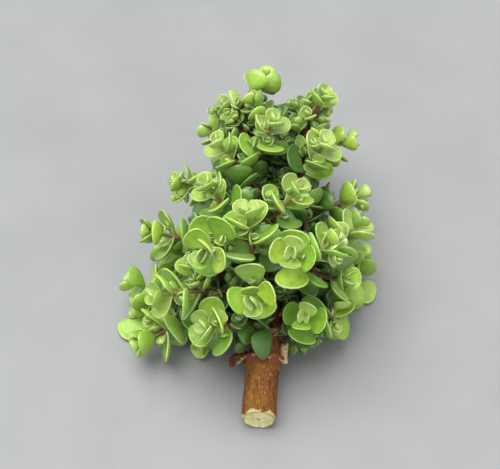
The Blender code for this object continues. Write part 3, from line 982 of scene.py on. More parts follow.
@dataclass
class FineGrowth:
    """The smallest leaves and the youngest shoots, which stand where the solids leave room."""

    layout: LeafLayout
    stems: dict[str, Stem]
    leaves: dict[str, list[Leaf]]
    shoots: dict[str, list[Path]] = field(default_factory=dict)
    search: Search = Search(
        10, 0.0, 0.3, (0.9, 1.1), (0.1, 0.2), (0.12, 0.3), (0.15, 0.0), (0.96, 1.12), (0.45, 0.55)
    )
    tip_lengths: tuple = (6.2, 3.4)
    tip_spreads: tuple = (27, 13)
    shoot_radii: tuple = (0.75 * MM, 0.5 * MM)
    shoot_reach: tuple = (3.5, 8.0)
    shoot_leaves: tuple = (3.6, 5.6, 7.4)
    shoot_spreads: tuple = (24, 42, 55)
    shoot_gap: float = 2.3 * MM
    shoot_bend: float = 0.25
    least_stem: float = 1 * MM
    ground_room: float = 4 * MM
    tip_sunk: float = 0.3 * MM
    tip_step: float = 0.9 * MM
    axil_share: float = 0.9
    axil_height: float = 0.6 * MM
    axil_lean: float = 0.75
    axil_sizes: tuple = (0.75, 1.1)
    wood_lean: float = 0.5
    wood_sunk: float = 0.6  # where a shoot on old wood starts, as a share of the limb's radius
    clearance: float = 0.05 * MM
    # (kind of limb, places tried, share of its length that they start from, sizes of the leaves)
    hosts: tuple = (
        (LimbKind.LEADER, 260, 0.05, (0.9, 1.35)),
        (LimbKind.BOUGH, 200, 0.35, (0.8, 1.25)),
        (LimbKind.TRUNK, 60, 0.46, (0.9, 1.3)),
    )
    seed: int = 5

    def grow(self, wood: list[Limb]) -> None:
        """Adds the tips' smallest pairs, then the shoots on the old wood, then those beside the leaves."""
        self.layout.chance = Random(self.seed)
        self.layout.canopy.clearance = self.clearance
        self.shoots = {name: [] for name in self.stems}
        self.tip_pairs()
        self.wood_shoots(wood)
        self.axil_shoots()

    def tip_pairs(self) -> None:
        """Adds the smallest pair and the bud at every stem's tip."""
        for name, stem in self.stems.items():
            _, turn, size = self.layout.plans[name]
            whole = path_length(stem.points)
            for k, (length, spread) in enumerate(zip(self.tip_lengths, self.tip_spreads)):
                around = turn + (k + 1) * pi / 2
                at = whole - self.tip_sunk + k * self.tip_step
                self.leaves[name] += self.layout.pair(
                    name, at, stem.points, around, length * MM * size, spread, -1, self.search
                )

    def sprout(self, owner: str, piece: str, root: Vector, heading: Vector, size: float) -> None:
        """Adds a young shoot with its leaves, where there is room for them.

        Args:
            owner: Name of the stem that it stands on.
            piece: Name of the piece that it joins.
            root: Where it starts.
            heading: Its first direction.
            size: Size of its leaves, times the usual.
        """
        chance = self.layout.chance
        reach = chance.uniform(*self.shoot_reach) * MM * size
        bend = scatter(chance, self.shoot_bend)
        end = root + (heading + bend * 0.5).normalized() * reach
        if end.z < self.ground_room:
            return
        path = bezier(root, root + heading * reach * 0.5, end, 5)
        grown = []
        turn = chance.uniform(0, pi)
        for k, (length, spread) in enumerate(zip(self.shoot_leaves, self.shoot_spreads)):
            at, around = reach - k * self.shoot_gap * size, turn + k * pi / 2
            if at < self.least_stem:
                break
            grown += self.layout.pair(owner, at, path, around, length * MM * size, spread, -1, self.search)
            if not grown:
                return
        self.shoots[piece].append(path)
        self.leaves[piece] += grown

    def axil_shoots(self) -> None:
        """Adds shoots in the angles between leaves and stems."""
        chance = self.layout.chance
        for name, stem in self.stems.items():
            nodes, turn, _ = self.layout.plans[name]
            for rank, (at, _) in enumerate(nodes[1:], 1):
                root, heading = along_path(stem.points, at + self.axil_height)
                square = heading.orthogonal().normalized()
                for side in (0, 1):
                    if chance.random() > self.axil_share:
                        continue
                    outward = Quaternion(heading, turn + rank * pi / 2 + side * pi) @ square
                    way = (heading * self.axil_lean + outward).normalized()
                    self.sprout(name, name, root, way, chance.uniform(*self.axil_sizes))

    def wood_shoots(self, wood: list[Limb]) -> None:
        """Adds short shoots straight from the old wood.

        Args:
            wood: The limbs.
        """
        chance = self.layout.chance
        for kind, count, first, sizes in self.hosts:
            piece = f"{kind.value}_shoots"
            self.shoots[piece], self.leaves[piece] = [], []
            limbs = [limb for limb in wood if limb.kind is kind]
            for _ in range(count):
                limb = chance.choice(limbs)
                share = chance.uniform(first, 1.0)
                root, heading = along_path(limb.points, share * path_length(limb.points))
                out = Quaternion(heading, chance.uniform(0, tau)) @ heading.orthogonal().normalized()
                root += out * radius_at(limb.radii, share) * self.wood_sunk
                way = (out + heading * self.wood_lean).normalized()
                self.sprout("wood", piece, root, way, chance.uniform(*sizes))


# ---- node helpers

def linear(colour: str) -> tuple[float, float, float, float]:
    """An sRGB hex colour such as "#A0B060" as linear red, green, blue and alpha."""
    parts = [int(colour[i : i + 2], 16) / 255 for i in (1, 3, 5)]
    red, green, blue = (c / 12.92 if c <= 0.04045 else ((c + 0.055) / 1.055) ** 2.4 for c in parts)
    return red, green, blue, 1.0


def fill(tree: NodeTree, node: Node, inputs: dict | Sequence[Any]) -> None:
    """Links or sets a node's inputs, in order or by name or number, each a socket or a value."""
    for key, value in inputs.items() if isinstance(inputs, dict) else enumerate(inputs):
        if isinstance(value, Socket):
            tree.links.new(value, node.inputs[key])
        else:
            node.inputs[key].default_value = value


def add_node(
    tree: NodeTree, kind: str, inputs: dict | Sequence[Any] = (), output: str | int = 0,
    **settings: Any,
) -> Socket:
    """Adds a node to a tree.

    Args:
        tree: The node tree.
        kind: Blender's name of the node's type.
        inputs: Its inputs, as fill takes them.
        output: Name or number of the output to return.
        settings: The node's own properties.

    Returns:
        That output.
    """
    node = tree.nodes.new(kind)
    for key, value in settings.items():
        setattr(node, key, value)
    fill(tree, node, inputs)
    return node.outputs[output]


class Coating:
    """A material in the making: its patterns, the colours laid over each other, and its relief."""

    def __init__(self, name: str, *attributes: str) -> None:
        """Starts the material, which reads the values of the attributes given."""
        self.material = bpy.data.materials.new(name)
        self.material.use_nodes = True
        self.tree = self.material.node_tree
        self.add = partial(add_node, self.tree)
        self.place = self.add("ShaderNodeTexCoord", output="Object")
        self.read = [self.add("ShaderNodeAttribute", output="Fac", attribute_name=key) for key in attributes]

    def math(self, operation: str, *inputs: Any) -> Socket:
        """Adds a Math node."""
        return self.add("ShaderNodeMath", inputs, operation=operation)

    def ranged(self, *inputs: Any, **settings: Any) -> Socket:
        """Adds a Map Range node, given its source and the ends of both ranges."""
        return self.add("ShaderNodeMapRange", inputs, **settings)

    def ramp(self, source: Socket, *stops: tuple[float, str]) -> Socket:
        """Adds a Color Ramp with the stops given, each a place and a colour."""
        ramp = self.add("ShaderNodeValToRGB", (source,))
        elements = ramp.node.color_ramp.elements
        for at, colour in stops[1:-1]:
            elements.new(at).color = linear(colour)
        for element, (at, colour) in ((elements[0], stops[0]), (elements[-1], stops[-1])):
            element.color = linear(colour)
            element.position = at
        return ramp

    def patterns(self, sizes: Sequence[Any], place: Socket | None = None) -> list:
        """Noise patterns of the sizes given, each a length, or a width and a length along Z."""
        found = []
        for size in sizes:
            wide, long = size if isinstance(size, tuple) else (size, size)
            scaled = {"Vector": place or self.place, "Scale": (1 / wide, 1 / wide, 1 / long)}
            settings = {"Vector": self.add("ShaderNodeMapping", scaled), "Scale": 1.0, "Detail": 4.0}
            found.append(self.add("ShaderNodeTexNoise", settings | {"Roughness": 0.57}))
        return found

    def layered(self, body: Any, layers: Sequence[tuple]) -> Socket:
        """Lays colours over each other.

        Args:
            body: The lowest colour.
            layers: What each follows, where it starts, where it is full, how strong it is, and its colour.

        Returns:
            The colour of them all.
        """
        body = linear(body) if isinstance(body, str) else body
        for source, first, full, most, colour in layers:
            amount = self.ranged(source, first, full, 0.0, most)
            body = self.add("ShaderNodeMix", {0: amount, 6: body, 7: linear(colour)}, 2, data_type="RGBA")
        return body

    def done(self, colour: Socket, relief: Sequence[tuple], **sockets: Any) -> Material:
        """Completes the material.

        Args:
            colour: Its colour.
            relief: (pattern, strength, depth in mm) of its relief, the finest first.
            sockets: The shader's other inputs, by name with underscores for spaces.

        Returns:
            The material.
        """
        given = {name.replace("_", " "): value for name, value in sockets.items()} | {"Base Color": colour}
        for height, strength, depth in relief:
            bump = {"Height": height, "Strength": strength, "Distance": depth * MM}
            before = {"Normal": given["Normal"]} if "Normal" in given else {}
            given["Normal"] = self.add("ShaderNodeBump", bump | before)
        fill(self.tree, self.tree.nodes["Principled BSDF"], given)
        return self.material


# ---- finishes

@dataclass(frozen=True)
class LeafFinish:
    """Skin of a succulent leaf: a waxed, faintly translucent epidermis, paler along its rim, and painted
    darker and greener deep in the crown as painted shade.
    """

    young: str = "#B4C474"
    grown: str = "#A9CC3E"
    old: str = "#8FC034"
    shade: str = "#66A41E"
    bloom: str = "#BCCE9A"
    rim: str = "#BCC898"
    inner_line: str = "#6F9E26"
    underside: str = "#9ABC4C"
    root: str = "#AFBF70"
    patch_size: float = 2.6 * MM
    bloom_size: float = 7.0 * MM
    cell_size: float = 0.45 * MM  # skin cells are near 0.1 mm, drawn coarser so that they show
    # Value of the leaves from deepest in the crown to outermost: the dark end is painted shade of the gaps in
    # the crown
    deepest_shade: float = 0.28
    lightest: float = 1.04

    def make(self) -> Material:
        """Builds the material, which reads the leaf's own place, age and tint, whose low end carries painted
        shade.
        """
        coat = Coating("waxed leaf skin", "age", "tint")
        age, tint = coat.read
        blade = coat.add("ShaderNodeAttribute", output="Vector", attribute_name="blade")
        along, _, across = coat.add("ShaderNodeSeparateXYZ", (blade,)).node.outputs
        share = coat.math("ABSOLUTE", across)
        patches, clouds, cells = coat.patterns((self.patch_size, self.bloom_size, self.cell_size))
        aged = coat.math("MULTIPLY", clouds, age)
        rim = coat.math("MULTIPLY_ADD", tint, 0.02, share)
        line = coat.ramp(share, (0.72, "#000000"), (0.90, "#FFFFFF"), (0.95, "#000000"))
        body = coat.layered(
            coat.ramp(age, (0.0, self.young), (0.45, self.grown), (0.95, self.old)),
            (
                (patches, 0.42, 0.70, 0.55, self.shade),
                (aged, 0.26, 0.52, 0.42, self.bloom),
                (across, 0.02, -0.3, 0.6, self.underside),
                (along, 0.32, 0.02, 0.7, self.root),
                (line, 0.0, 1.0, 0.3, self.inner_line),
                (rim, 0.935, 0.995, 0.5, self.rim),
            ),
        )
        # Painted shade: the lower a leaf's tint, the deeper it sits in the crown and the darker and greener
        # it is painted, partly standing for the darker green of older inner leaves
        depth = coat.ranged(tint, -3.8, 1.0, self.deepest_shade, self.lightest, interpolation_type="SMOOTHSTEP")
        speckle = coat.ranged(cells, 0.3, 0.7, 0.92, 1.08)
        value_with_shade = coat.math("MULTIPLY", depth, speckle)
        hue = coat.ranged(tint, -3.2, 1.0, 0.538, 0.491)
        body = coat.add("ShaderNodeHueSaturation", {"Hue": hue, "Value": value_with_shade, "Color": body})
        return coat.done(
            body,
            ((cells, 0.12, 0.12), (patches, 0.6, 0.6)),
            Roughness=coat.ranged(clouds, 0.3, 0.7, 0.32, 0.48),
            IOR=1.42, Specular_IOR_Level=0.5, Coat_Weight=0.5, Coat_Roughness=0.26,
            Sheen_Weight=0.05, Sheen_Roughness=0.4,
            Subsurface_Weight=0.06, Subsurface_Radius=(1.0, 1.4, 0.35), Subsurface_Scale=1.2 * MM,
        )


@dataclass(frozen=True)
class YoungStemFinish:
    """Skin of a young stem: smooth, reddish brown where it has hardened and green near its tip."""

    hardened: str = "#553A2A"
    red: str = "#76503B"
    green: str = "#93A052"
    streak_size: float = 0.9 * MM

    def make(self) -> Material:
        """Builds the material, which reads how far along the stem a point is."""
        coat = Coating("young stem skin", "share")
        (streak,) = coat.patterns((self.streak_size,))
        shifted = coat.math("MULTIPLY_ADD", streak, 0.35, coat.read[0])
        colour = coat.ramp(shifted, (0.25, self.hardened), (0.62, self.red), (0.97, self.green))
        return coat.done(colour, ((streak, 0.5, 0.25),), Roughness=0.5, IOR=1.45)


@dataclass(frozen=True)
class BarkFinish:
    """Thin dry bark, matt: reddish-brown plates, ochre more often towards the top, with pale flecks in
    fissures.
    """

    red: str = "#6A391D"
    ochre: str = "#7D5114"
    dark: str = "#432614"
    fissure: str = "#91611F"
    fleck: str = "#B98641"
    ring: str = "#7C4038"
    torn: str = "#C6B57C"
    # Width and length of each pattern in mm, round the limb and along it
    weather_size: tuple = (7.0, 22.0)
    streak_size: tuple = (0.8, 5.0)
    fleck_size: tuple = (0.45, 1.6)

    def make(self) -> Material:
        """Builds the material, which reads the bark's own coordinates in millimetres."""
        coat = Coating("thin fissured bark", "furrow", "ring")
        furrow, ring = coat.read
        grain = coat.add("ShaderNodeAttribute", output="Vector", attribute_name="grain")
        sizes = self.weather_size, self.streak_size, self.fleck_size
        weather, streaks, flecks = coat.patterns(sizes, grain)
        # Ochre more often on the side that faces up as the cutting lies
        upper = coat.math("MULTIPLY_ADD", coat.add("ShaderNodeSeparateXYZ", (grain,)), 0.045, weather)
        body = coat.layered(
            self.red,
            (
                (upper, 0.60, 0.88, 0.9, self.ochre),
                (furrow, 0.3, 1.0, 0.55, self.fissure),
                (streaks, 0.50, 0.37, 0.9, self.dark),
                (flecks, 0.58, 0.66, 0.75, self.fleck),
                (ring, 0.1, 0.9, 0.65, self.ring),
                (ring, -0.2, -0.7, 0.9, self.torn),
            ),
        )
        relief = (streaks, 0.7, 0.45), (flecks, 0.7, 0.3)
        return coat.done(body, relief, Roughness=0.72, Specular_IOR_Level=0.25)


@dataclass(frozen=True)
class CutWoodFinish:
    """Freshly cut soft wood: pale and moist, with a green line under the bark and a small pith."""

    wood: str = "#EBE2AC"
    ray: str = "#CDC488"
    green: str = "#BCC47A"
    pith: str = "#A39661"
    bark: str = "#74502A"
    fleck_size: float = 0.9 * MM
    smear_size: float = 3.2 * MM

    def make(self) -> Material:
        """Builds the material, which reads how far from the pith a point is."""
        coat = Coating("freshly cut wood", "heart")
        flecks, smears = coat.patterns((self.fleck_size, self.smear_size))
        shaken = coat.math("MULTIPLY_ADD", smears, 0.14, coat.read[0])
        body = coat.layered(
            self.wood,
            (
                (smears, 0.45, 0.62, 0.7, self.green),
                (flecks, 0.5, 0.66, 0.7, self.ray),
                (shaken, 0.24, 0.14, 0.8, self.pith),
                (shaken, 0.92, 0.97, 0.6, self.green),
                (shaken, 1.0, 1.05, 0.9, self.bark),
            ),
        )
        relief = (flecks, 0.7, 0.3), (smears, 0.6, 0.6)
        return coat.done(body, relief, Roughness=0.5, Subsurface_Weight=0.1, Subsurface_Scale=1.0 * MM)


@dataclass(frozen=True)
class PaperyScrapFinish:
    """Dead papery bark and the dried rims of lost branches: pale tan, fibrous and matt."""

    pale: str = "#CDB88A"
    brown: str = "#84603C"
    fibre_size: float = 0.8 * MM

    def make(self) -> Material:
        """Builds the material."""
        coat = Coating("dry papery bark")
        (fibres,) = coat.patterns((self.fibre_size,))
        body = coat.layered(self.pale, ((fibres, 0.52, 0.36, 0.9, self.brown),))
        return coat.done(body, ((fibres, 0.6, 0.3),), Roughness=0.85)


@dataclass(frozen=True)
class TabletopFinish:
    """Pale painted board with the faintest uneven coat."""

    paint: str = "#8B8C8C"
    worn: str = "#868787"
    coat_size: float = 45 * MM

    def make(self) -> Material:
        """Builds the material."""
        coat = Coating("pale painted board")
        (uneven,) = coat.patterns((self.coat_size,))
        body = coat.layered(self.paint, ((uneven, 0.4, 0.65, 1.0, self.worn),))
        return coat.done(body, ((uneven, 0.1, 0.3),), Roughness=0.6)


# ---- mesh helpers

ATTRIBUTE_KINDS = {bool: "BOOLEAN", int: "INT", float: "FLOAT", tuple: "FLOAT_VECTOR"}


def link_mesh(mesh: Mesh) -> Object:
    """A new object of a mesh and with its name, at the origin of the scene."""
    made = bpy.data.objects.new(mesh.name, mesh)
    bpy.context.scene.collection.objects.link(made)
    return made


def tube_faces(sides: int, count: int, first: int = 0) -> Faces:
    """Faces of a tube that is closed with a pole at each end.

    Args:
        sides: How many points a ring has.
        count: How many rings there are.
        first: Number of the first ring's first point. The start's pole and the end's follow the last ring.

    Returns:
        The faces.
    """
    faces, last = [], first + (count - 1) * sides
    for i in range(sides):
        j = (i + 1) % sides
        for ring in range(first, last, sides):
            faces.append([ring + i, ring + j, ring + sides + j, ring + sides + i])
        faces.append([first + j, first + i, last + sides])
        faces.append([last + i, last + j, last + sides + 1])
    return faces


def new_mesh(
    name: str, points: Sequence[Any], faces: Faces, values: dict[str, Sequence[Any]],
    edges: Sequence[tuple[int, int]] = (),
) -> Mesh:
    """A smooth mesh, with its faces turned outwards.

    Args:
        name: Its name.
        points: Its points.
        faces: Its faces, which close.
        values: A value for each point, under its attribute's name.
        edges: Edges that no face has.

    Returns:
        The mesh.
    """
    mesh = bpy.data.meshes.new(name)
    mesh.from_pydata(points, edges, faces)
    if faces:
        solid = bmesh.new()
        solid.from_mesh(mesh)
        bmesh.ops.recalc_face_normals(solid, faces=solid.faces)
        solid.to_mesh(mesh)
        solid.free()
        mesh.polygons.foreach_set("use_smooth", [True] * len(faces))
    for key, stored in values.items():
        kind = ATTRIBUTE_KINDS[type(stored[0])]
        made = mesh.attributes.new(key, kind, "POINT")
        if kind == "FLOAT_VECTOR":
            made.data.foreach_set("vector", [part for value in stored for part in value])
        else:
            made.data.foreach_set("value", stored)
    return mesh


def turned_frames(points: Path, first: Vector) -> list[tuple[Vector, Vector]]:
    """Two directions square to a path at each of its points, which don't twist along it.

    Args:
        points: The path.
        first: Wanted first direction.

    Returns:
        For each point, the carried direction and the one square to it.
    """
    frames = []
    for i in range(len(points)):
        ahead = (points[min(i + 1, len(points) - 1)] - points[max(i - 1, 0)]).normalized()
        first = (first - ahead * first.dot(ahead)).normalized()
        frames.append((first, ahead.cross(first)))
    return frames


def hand_over(piece: Object, slot: str, *nodes: str) -> Object:
    """Says which body a finished piece rides on and which nodes it replaces."""
    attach(piece, BODY)
    for node in nodes:
        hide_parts(node)
    return piece


# ---- foliage

@dataclass(frozen=True)
class BladeForm:
    """One shape of leaf blade, a unit long, broad and thick: a wedge at the root and round at the tip."""

    fullness: float = 0.7
    tip: float = 0.0
    sideways: float = 0.0
    wave: float = 0.06
    sides: int = 20
    # (share of the way to the rim, height), over the hollow upper side and back underneath
    section: tuple = ((0.50, 0.11), (0.84, 0.21), (0.96, 0.30), (1.00, 0.12), (0.96, -0.08), (0.66, -0.38))
    middle: float = 0.54
    top_height: float = 0.08
    bottom_height: float = -0.55

    def outline(self, turn: float) -> tuple[float, float]:
        """A point of the outline at a turn round the blade, which starts at the root."""
        x = 0.5 - 0.5 * cos(turn)
        y = 0.7 * sin(turn) * x**self.fullness * (1 - self.tip * x**6)
        return x, y + self.sideways * x * x

    def make(self, name: str) -> Mesh:
        """Builds the blade, which stores x, y and the share towards the rim as the attribute blade.

        Args:
            name: Name of the mesh.

        Returns:
            The mesh. Its share towards the rim is negative underneath.
        """
        points, places = [], []
        for share, height in self.section:
            for i in range(self.sides):
                turn = tau * i / self.sides
                x, y = self.outline(turn)
                x, y = self.middle + (x - self.middle) * share, y * share
                points.append((x, y, height + self.wave * sin(3 * turn + self.sideways * 40) * share**2))
                places.append((x, y, share if height > 0 else -share))
        points += [(self.middle, 0.0, self.top_height), (self.middle, 0.0, self.bottom_height)]
        places += [(self.middle, 0.0, 0.0), (self.middle, 0.0, -0.01)]
        return new_mesh(name, points, tube_faces(self.sides, len(self.section)), {"blade": places})


@dataclass
class Sites:
    """Points and lines from which Geometry Nodes grow a piece: leaf roots, and centre lines of stems."""

    place: Vector
    chance: Random
    points: Path = field(default_factory=list)
    edges: list[tuple[int, int]] = field(default_factory=list)
    values: dict[str, list] = field(default_factory=lambda: {name: [] for name in Sites.NOTHING})

    # A leaf's least and greatest hollow, as a share of its length, and how far its age varies
    HOLLOWS = (0.02, 0.075)
    AGE_SPREAD = 0.10
    # How far the inmost leaves' tint falls below the outermost, as painted shade deep in the crown
    INNER_SHADE = 3.0
    # Height of a resting leaf's root, as a share of its thickness
    RAISED = 0.62
    # How much a stem swells at a leaf pair, over what length, and how thin it ends
    SWELL = 0.26
    SWELL_LENGTH = 0.8 * MM
    END_THINNING = 0.55
    # The attributes of a site, at nothing
    NOTHING = {
        **dict.fromkeys(("turn", "size", "bend"), (0.0, 0.0, 0.0)),
        **dict.fromkeys(("age", "tint", "girth", "share"), 0.0),
        "is_leaf": False,
        "form": 0,
    }

    def add(self, point: Vector, **given: Any) -> None:
        """Adds a point with the attributes given, and the others at nothing."""
        self.points.append(point + self.place)
        for name, nothing in self.NOTHING.items():
            self.values[name].append(given.get(name, nothing))

    def add_leaf(self, leaf: Leaf, age: float, inner: float, form: int) -> None:
        """Adds a leaf.

        Args:
            leaf: The leaf.
            age: From 0, just opened, to 1, the oldest.
            inner: How deep in the crown it is, from 0 to 1, where leaves are painted darker and greener as
                painted shade.
            form: Which of the blade shapes it has.
        """
        raised = UP * self.RAISED * leaf.thickness if leaf.lift else Vector()
        hollow = 0.0 if leaf.lift else self.chance.uniform(*self.HOLLOWS)
        self.add(
            leaf.frame.translation + raised,
            is_leaf=True,
            turn=tuple(leaf.frame.to_euler("XYZ")),
            size=(leaf.length, leaf.breadth, leaf.thickness),
            bend=(leaf.cup * leaf.length, hollow * leaf.length, max(0.0, leaf.lift - raised.z)),
            form=form,
            age=min(max(age + self.chance.gauss(0, self.AGE_SPREAD), 0.0), 1.0),
            # A random tint, lowered deep in the crown as painted shade
            tint=self.chance.uniform(-1, 1) - self.INNER_SHADE * inner,
        )

    def add_stem(
        self, path: Path, radii: Radii, knots: Sequence[float], shares: tuple[float, float]
    ) -> None:
        """Adds a stem's centre line, a little thicker at each of its leaf pairs.

        Args:
            path: The stem's points.
            radii: Radii evenly spread over them.
            knots: Distances along the stem of its leaf pairs.
            shares: Hardness of its bark at the root and tip, from 0, old, to 1, young.
        """
        points, sizes = smooth_path(path, radii, (0.9 if knots else 1.6) * MM)
        gone = 0.0
        for i, (point, radius) in enumerate(zip(points, sizes)):
            if i:
                gone += (point - points[i - 1]).length
                self.edges.append((len(self.points) - 1, len(self.points)))
            swell = sum(exp(-(((gone - knot) / self.SWELL_LENGTH) ** 2)) for knot in knots)
            closing = 1.0 if i < len(points) - 1 else self.END_THINNING
            girth = radius * (1 + self.SWELL * min(swell, 1.0)) * closing
            share = shares[0] + (shares[1] - shares[0]) * i / (len(points) - 1)
            self.add(point, girth=girth, share=share)


@dataclass
class Grower:
    """Geometry Nodes that grow a piece from its sites: leaves or flakes on points, stems along lines."""

    stem_sides: int = 8

    @cached_property
    def tree(self) -> NodeTree:
        """The Geometry Nodes."""
        tree = bpy.data.node_groups.new("leafy stem", "GeometryNodeTree")
        inputs = {"Sites": "Geometry", "Forms": "Collection", "Stem Sides": "Int"}
        inputs |= {"Leaf Finish": "Material", "Stem Finish": "Material"}
        for name, kind in inputs.items():
            tree.interface.new_socket(name, in_out="INPUT", socket_type=f"NodeSocket{kind}")
        tree.interface.new_socket("Piece", in_out="OUTPUT", socket_type="NodeSocketGeometry")
        given = tree.nodes.new("NodeGroupInput").outputs
        add = partial(add_node, tree)
        kinds = {name: ATTRIBUTE_KINDS[type(nothing)] for name, nothing in Sites.NOTHING.items()}
        read = {
            name: add("GeometryNodeInputNamedAttribute", {"Name": name}, data_type=kind)
            for name, kind in {**kinds, "blade": "FLOAT_VECTOR"}.items()
        }
        parted = add("GeometryNodeSeparateGeometry", (given["Sites"], read["is_leaf"]))
        leaf_sites, lines = parted.node.outputs
        turn = add("FunctionNodeEulerToRotation", (read["turn"],))
        placed = {
            "Points": leaf_sites,
            "Instance": add("GeometryNodeCollectionInfo", (given["Forms"], True, True)),
            "Pick Instance": True,
            "Instance Index": read["form"],
            "Rotation": turn,
            "Scale": read["size"],
        }
        real = add("GeometryNodeRealizeInstances", (add("GeometryNodeInstanceOnPoints", placed),))
        x, y, _ = add("ShaderNodeSeparateXYZ", (read["blade"],)).node.outputs
        cup, hollow, drop = add("ShaderNodeSeparateXYZ", (read["bend"],)).node.outputs
        rise = 0.0
        # Each bend rises with (source * factor + shift) to a power: both ends, both edges, and the root
        bends = (x, 2, -1, 2, cup), (y, 2, 0, 2, hollow), (x, -1, 1, 7, drop)
        for source, factor, shift, power, height in bends:
            share = add("ShaderNodeMath", (source, factor, shift), operation="MULTIPLY_ADD")
            share = add("ShaderNodeMath", (share, power), operation="POWER")
            rise = add("ShaderNodeMath", (share, height, rise), operation="MULTIPLY_ADD")
        offset = add("FunctionNodeRotateVector", (add("ShaderNodeCombineXYZ", {2: rise}), turn))
        bent = add("GeometryNodeSetPosition", {"Geometry": real, "Offset": offset})
        circle = add("GeometryNodeCurvePrimitiveCircle", {"Resolution": given["Stem Sides"], "Radius": 1.0})
        tube = {"Curve": add("GeometryNodeMeshToCurve", (lines,)), "Profile Curve": circle}
        tubes = add("GeometryNodeCurveToMesh", tube | {"Scale": read["girth"], "Fill Caps": True})
        leaves = add("GeometryNodeSetMaterial", {"Geometry": bent, "Material": given["Leaf Finish"]})
        stems = add("GeometryNodeSetMaterial", {"Geometry": tubes, "Material": given["Stem Finish"]})
        both = add("GeometryNodeJoinGeometry", (leaves,))
        tree.links.new(stems, both.node.inputs[0])
        smooth = add("GeometryNodeSetShadeSmooth", {"Geometry": both})
        tree.links.new(smooth, tree.nodes.new("NodeGroupOutput").inputs[0])
        return tree

    def grow(
        self, name: str, sites: Sites, forms: list[Mesh], finish: Material, stem_finish: Material
    ) -> Object:
        """Grows a piece.

        Args:
            name: Name of the piece.
            sites: Where its leaves or flakes and its stems are.
            forms: The meshes they choose from.
            finish: Finish of the leaves or flakes.
            stem_finish: Finish of the stems.

        Returns:
            The piece as a plain mesh.
        """
        chosen = bpy.data.collections.new("forms")
        for form in forms:
            chosen.objects.link(bpy.data.objects.new(form.name, form))
        source = link_mesh(new_mesh(name + "_sites", sites.points, [], sites.values, sites.edges))
        modifier = source.modifiers.new("grow", "NODES")
        modifier.node_group = self.tree
        values = {"Forms": chosen, "Stem Sides": self.stem_sides}
        values |= {"Leaf Finish": finish, "Stem Finish": stem_finish}
        for item in self.tree.interface.items_tree:
            if item.in_out == "INPUT" and item.name in values:
                modifier[item.identifier] = values[item.name]
        mesh = bpy.data.meshes.new_from_object(source.evaluated_get(bpy.context.evaluated_depsgraph_get()))
        mesh.name = name
        for spent in (source, *chosen.objects):
            bpy.data.objects.remove(spent)
        bpy.data.collections.remove(chosen)
        return link_mesh(mesh)


@dataclass
class Foliage:
    """The leafy stems: fleshy leaves in opposite pairs on thin young stems."""

    growth: FineGrowth
    crown: Crown
    place: Vector
    grower: Grower
    forms: tuple = (
        BladeForm(),
        BladeForm(0.62, 0.0, 0.03, 0.08),
        BladeForm(0.78, 0.10, -0.04, 0.05),
        BladeForm(0.66, 0.18, 0.02, 0.10),
        BladeForm(0.72, 0.0, -0.02, 0.12),
    )
    small_forms: tuple = (
        BladeForm(0.58, 0.0, 0.0, 0.06, 12, ((0.80, 0.22), (0.97, 0.30), (1.0, 0.08), (0.85, -0.24))),
        BladeForm(0.52, 0.06, 0.03, 0.1, 12, ((0.78, 0.20), (0.97, 0.32), (1.0, 0.06), (0.8, -0.26))),
    )
    small_below: float = 8.5 * MM
    overlap: float = 0.8 * MM
    # Ages of the leaf pairs, from the stem's tip inwards, and of the smallest leaves
    ages: tuple = (0.16, 0.34, 0.52, 0.68, 0.84)
    youngest: float = 0.05
    # What is added to every leaf's age, and what more low in the crown
    age_shift: float = -0.12
    low_age: float = 0.22
    # Distances along the trunk, and shares of the crown's radius, between which leaves change; the shares set
    # their painted shade
    heights: tuple = (45 * MM, 110 * MM)
    depths: tuple = (0.45, 0.85)

    def add_leaf(self, sites: Sites, leaf: Leaf) -> None:
        """Adds a leaf, which looks older far from its stem's tip and low in the crown, and is painted darker
        inside as painted shade.

        Args:
            sites: Where it goes.
            leaf: The leaf.
        """
        axis = self.growth.layout.axis
        along, out, _ = axis.place_of(leaf.centre())
        low = 1 - smoothstep(*self.heights, along)
        age = self.youngest if leaf.rank < 0 else self.ages[leaf.rank] + self.low_age * low + self.age_shift
        # How deep in the crown the leaf is, which sets its painted shade
        inner = 1 - smoothstep(*self.depths, out / max(self.crown.radius_at(along), 4 * MM))
        form = sites.chance.randrange(len(self.forms))
        if leaf.length < self.small_below:
            form = len(self.forms) + form % len(self.small_forms)
        sites.add_leaf(leaf, age, inner, form)

    def build(self) -> list[Object]:
        """Builds a piece for every leafy stem, in place of its solid, and one for each kind of old wood."""
        forms = [form.make(f"blade_{i}") for i, form in enumerate(self.forms + self.small_forms)]
        finishes = LeafFinish().make(), YoungStemFinish().make()
        layout, pieces = self.growth.layout, []
        for seed, (name, leaves) in enumerate(self.growth.leaves.items()):
            sites = Sites(self.place, Random(seed))
            stem = self.growth.stems.get(name)
            if stem:
                heading = (stem.points[1] - stem.points[0]).normalized()
                path = [stem.points[0] - heading * self.overlap, *stem.points[1:]]
                knots = [at + self.overlap for at, _ in layout.plans[name][0]]
                sites.add_stem(path, layout.stem_sizes.radii, knots, (0.0, 0.75))
            for shoot in self.growth.shoots[name]:
                sites.add_stem(shoot, self.growth.shoot_radii, [], (0.55, 1.0))
            for leaf in leaves:
                self.add_leaf(sites, leaf)
            piece = self.grower.grow(f"{name}_foliage" if stem else name, sites, forms, *finishes)
            pieces.append(hand_over(piece, "leaf", *([name] if stem else [])))
        return pieces


# ---- wood

class BarkPoint(NamedTuple):
    """A point of a bark surface, with what its material reads."""

    place: Vector
    grain: Triple
    furrow: float
    ring: float


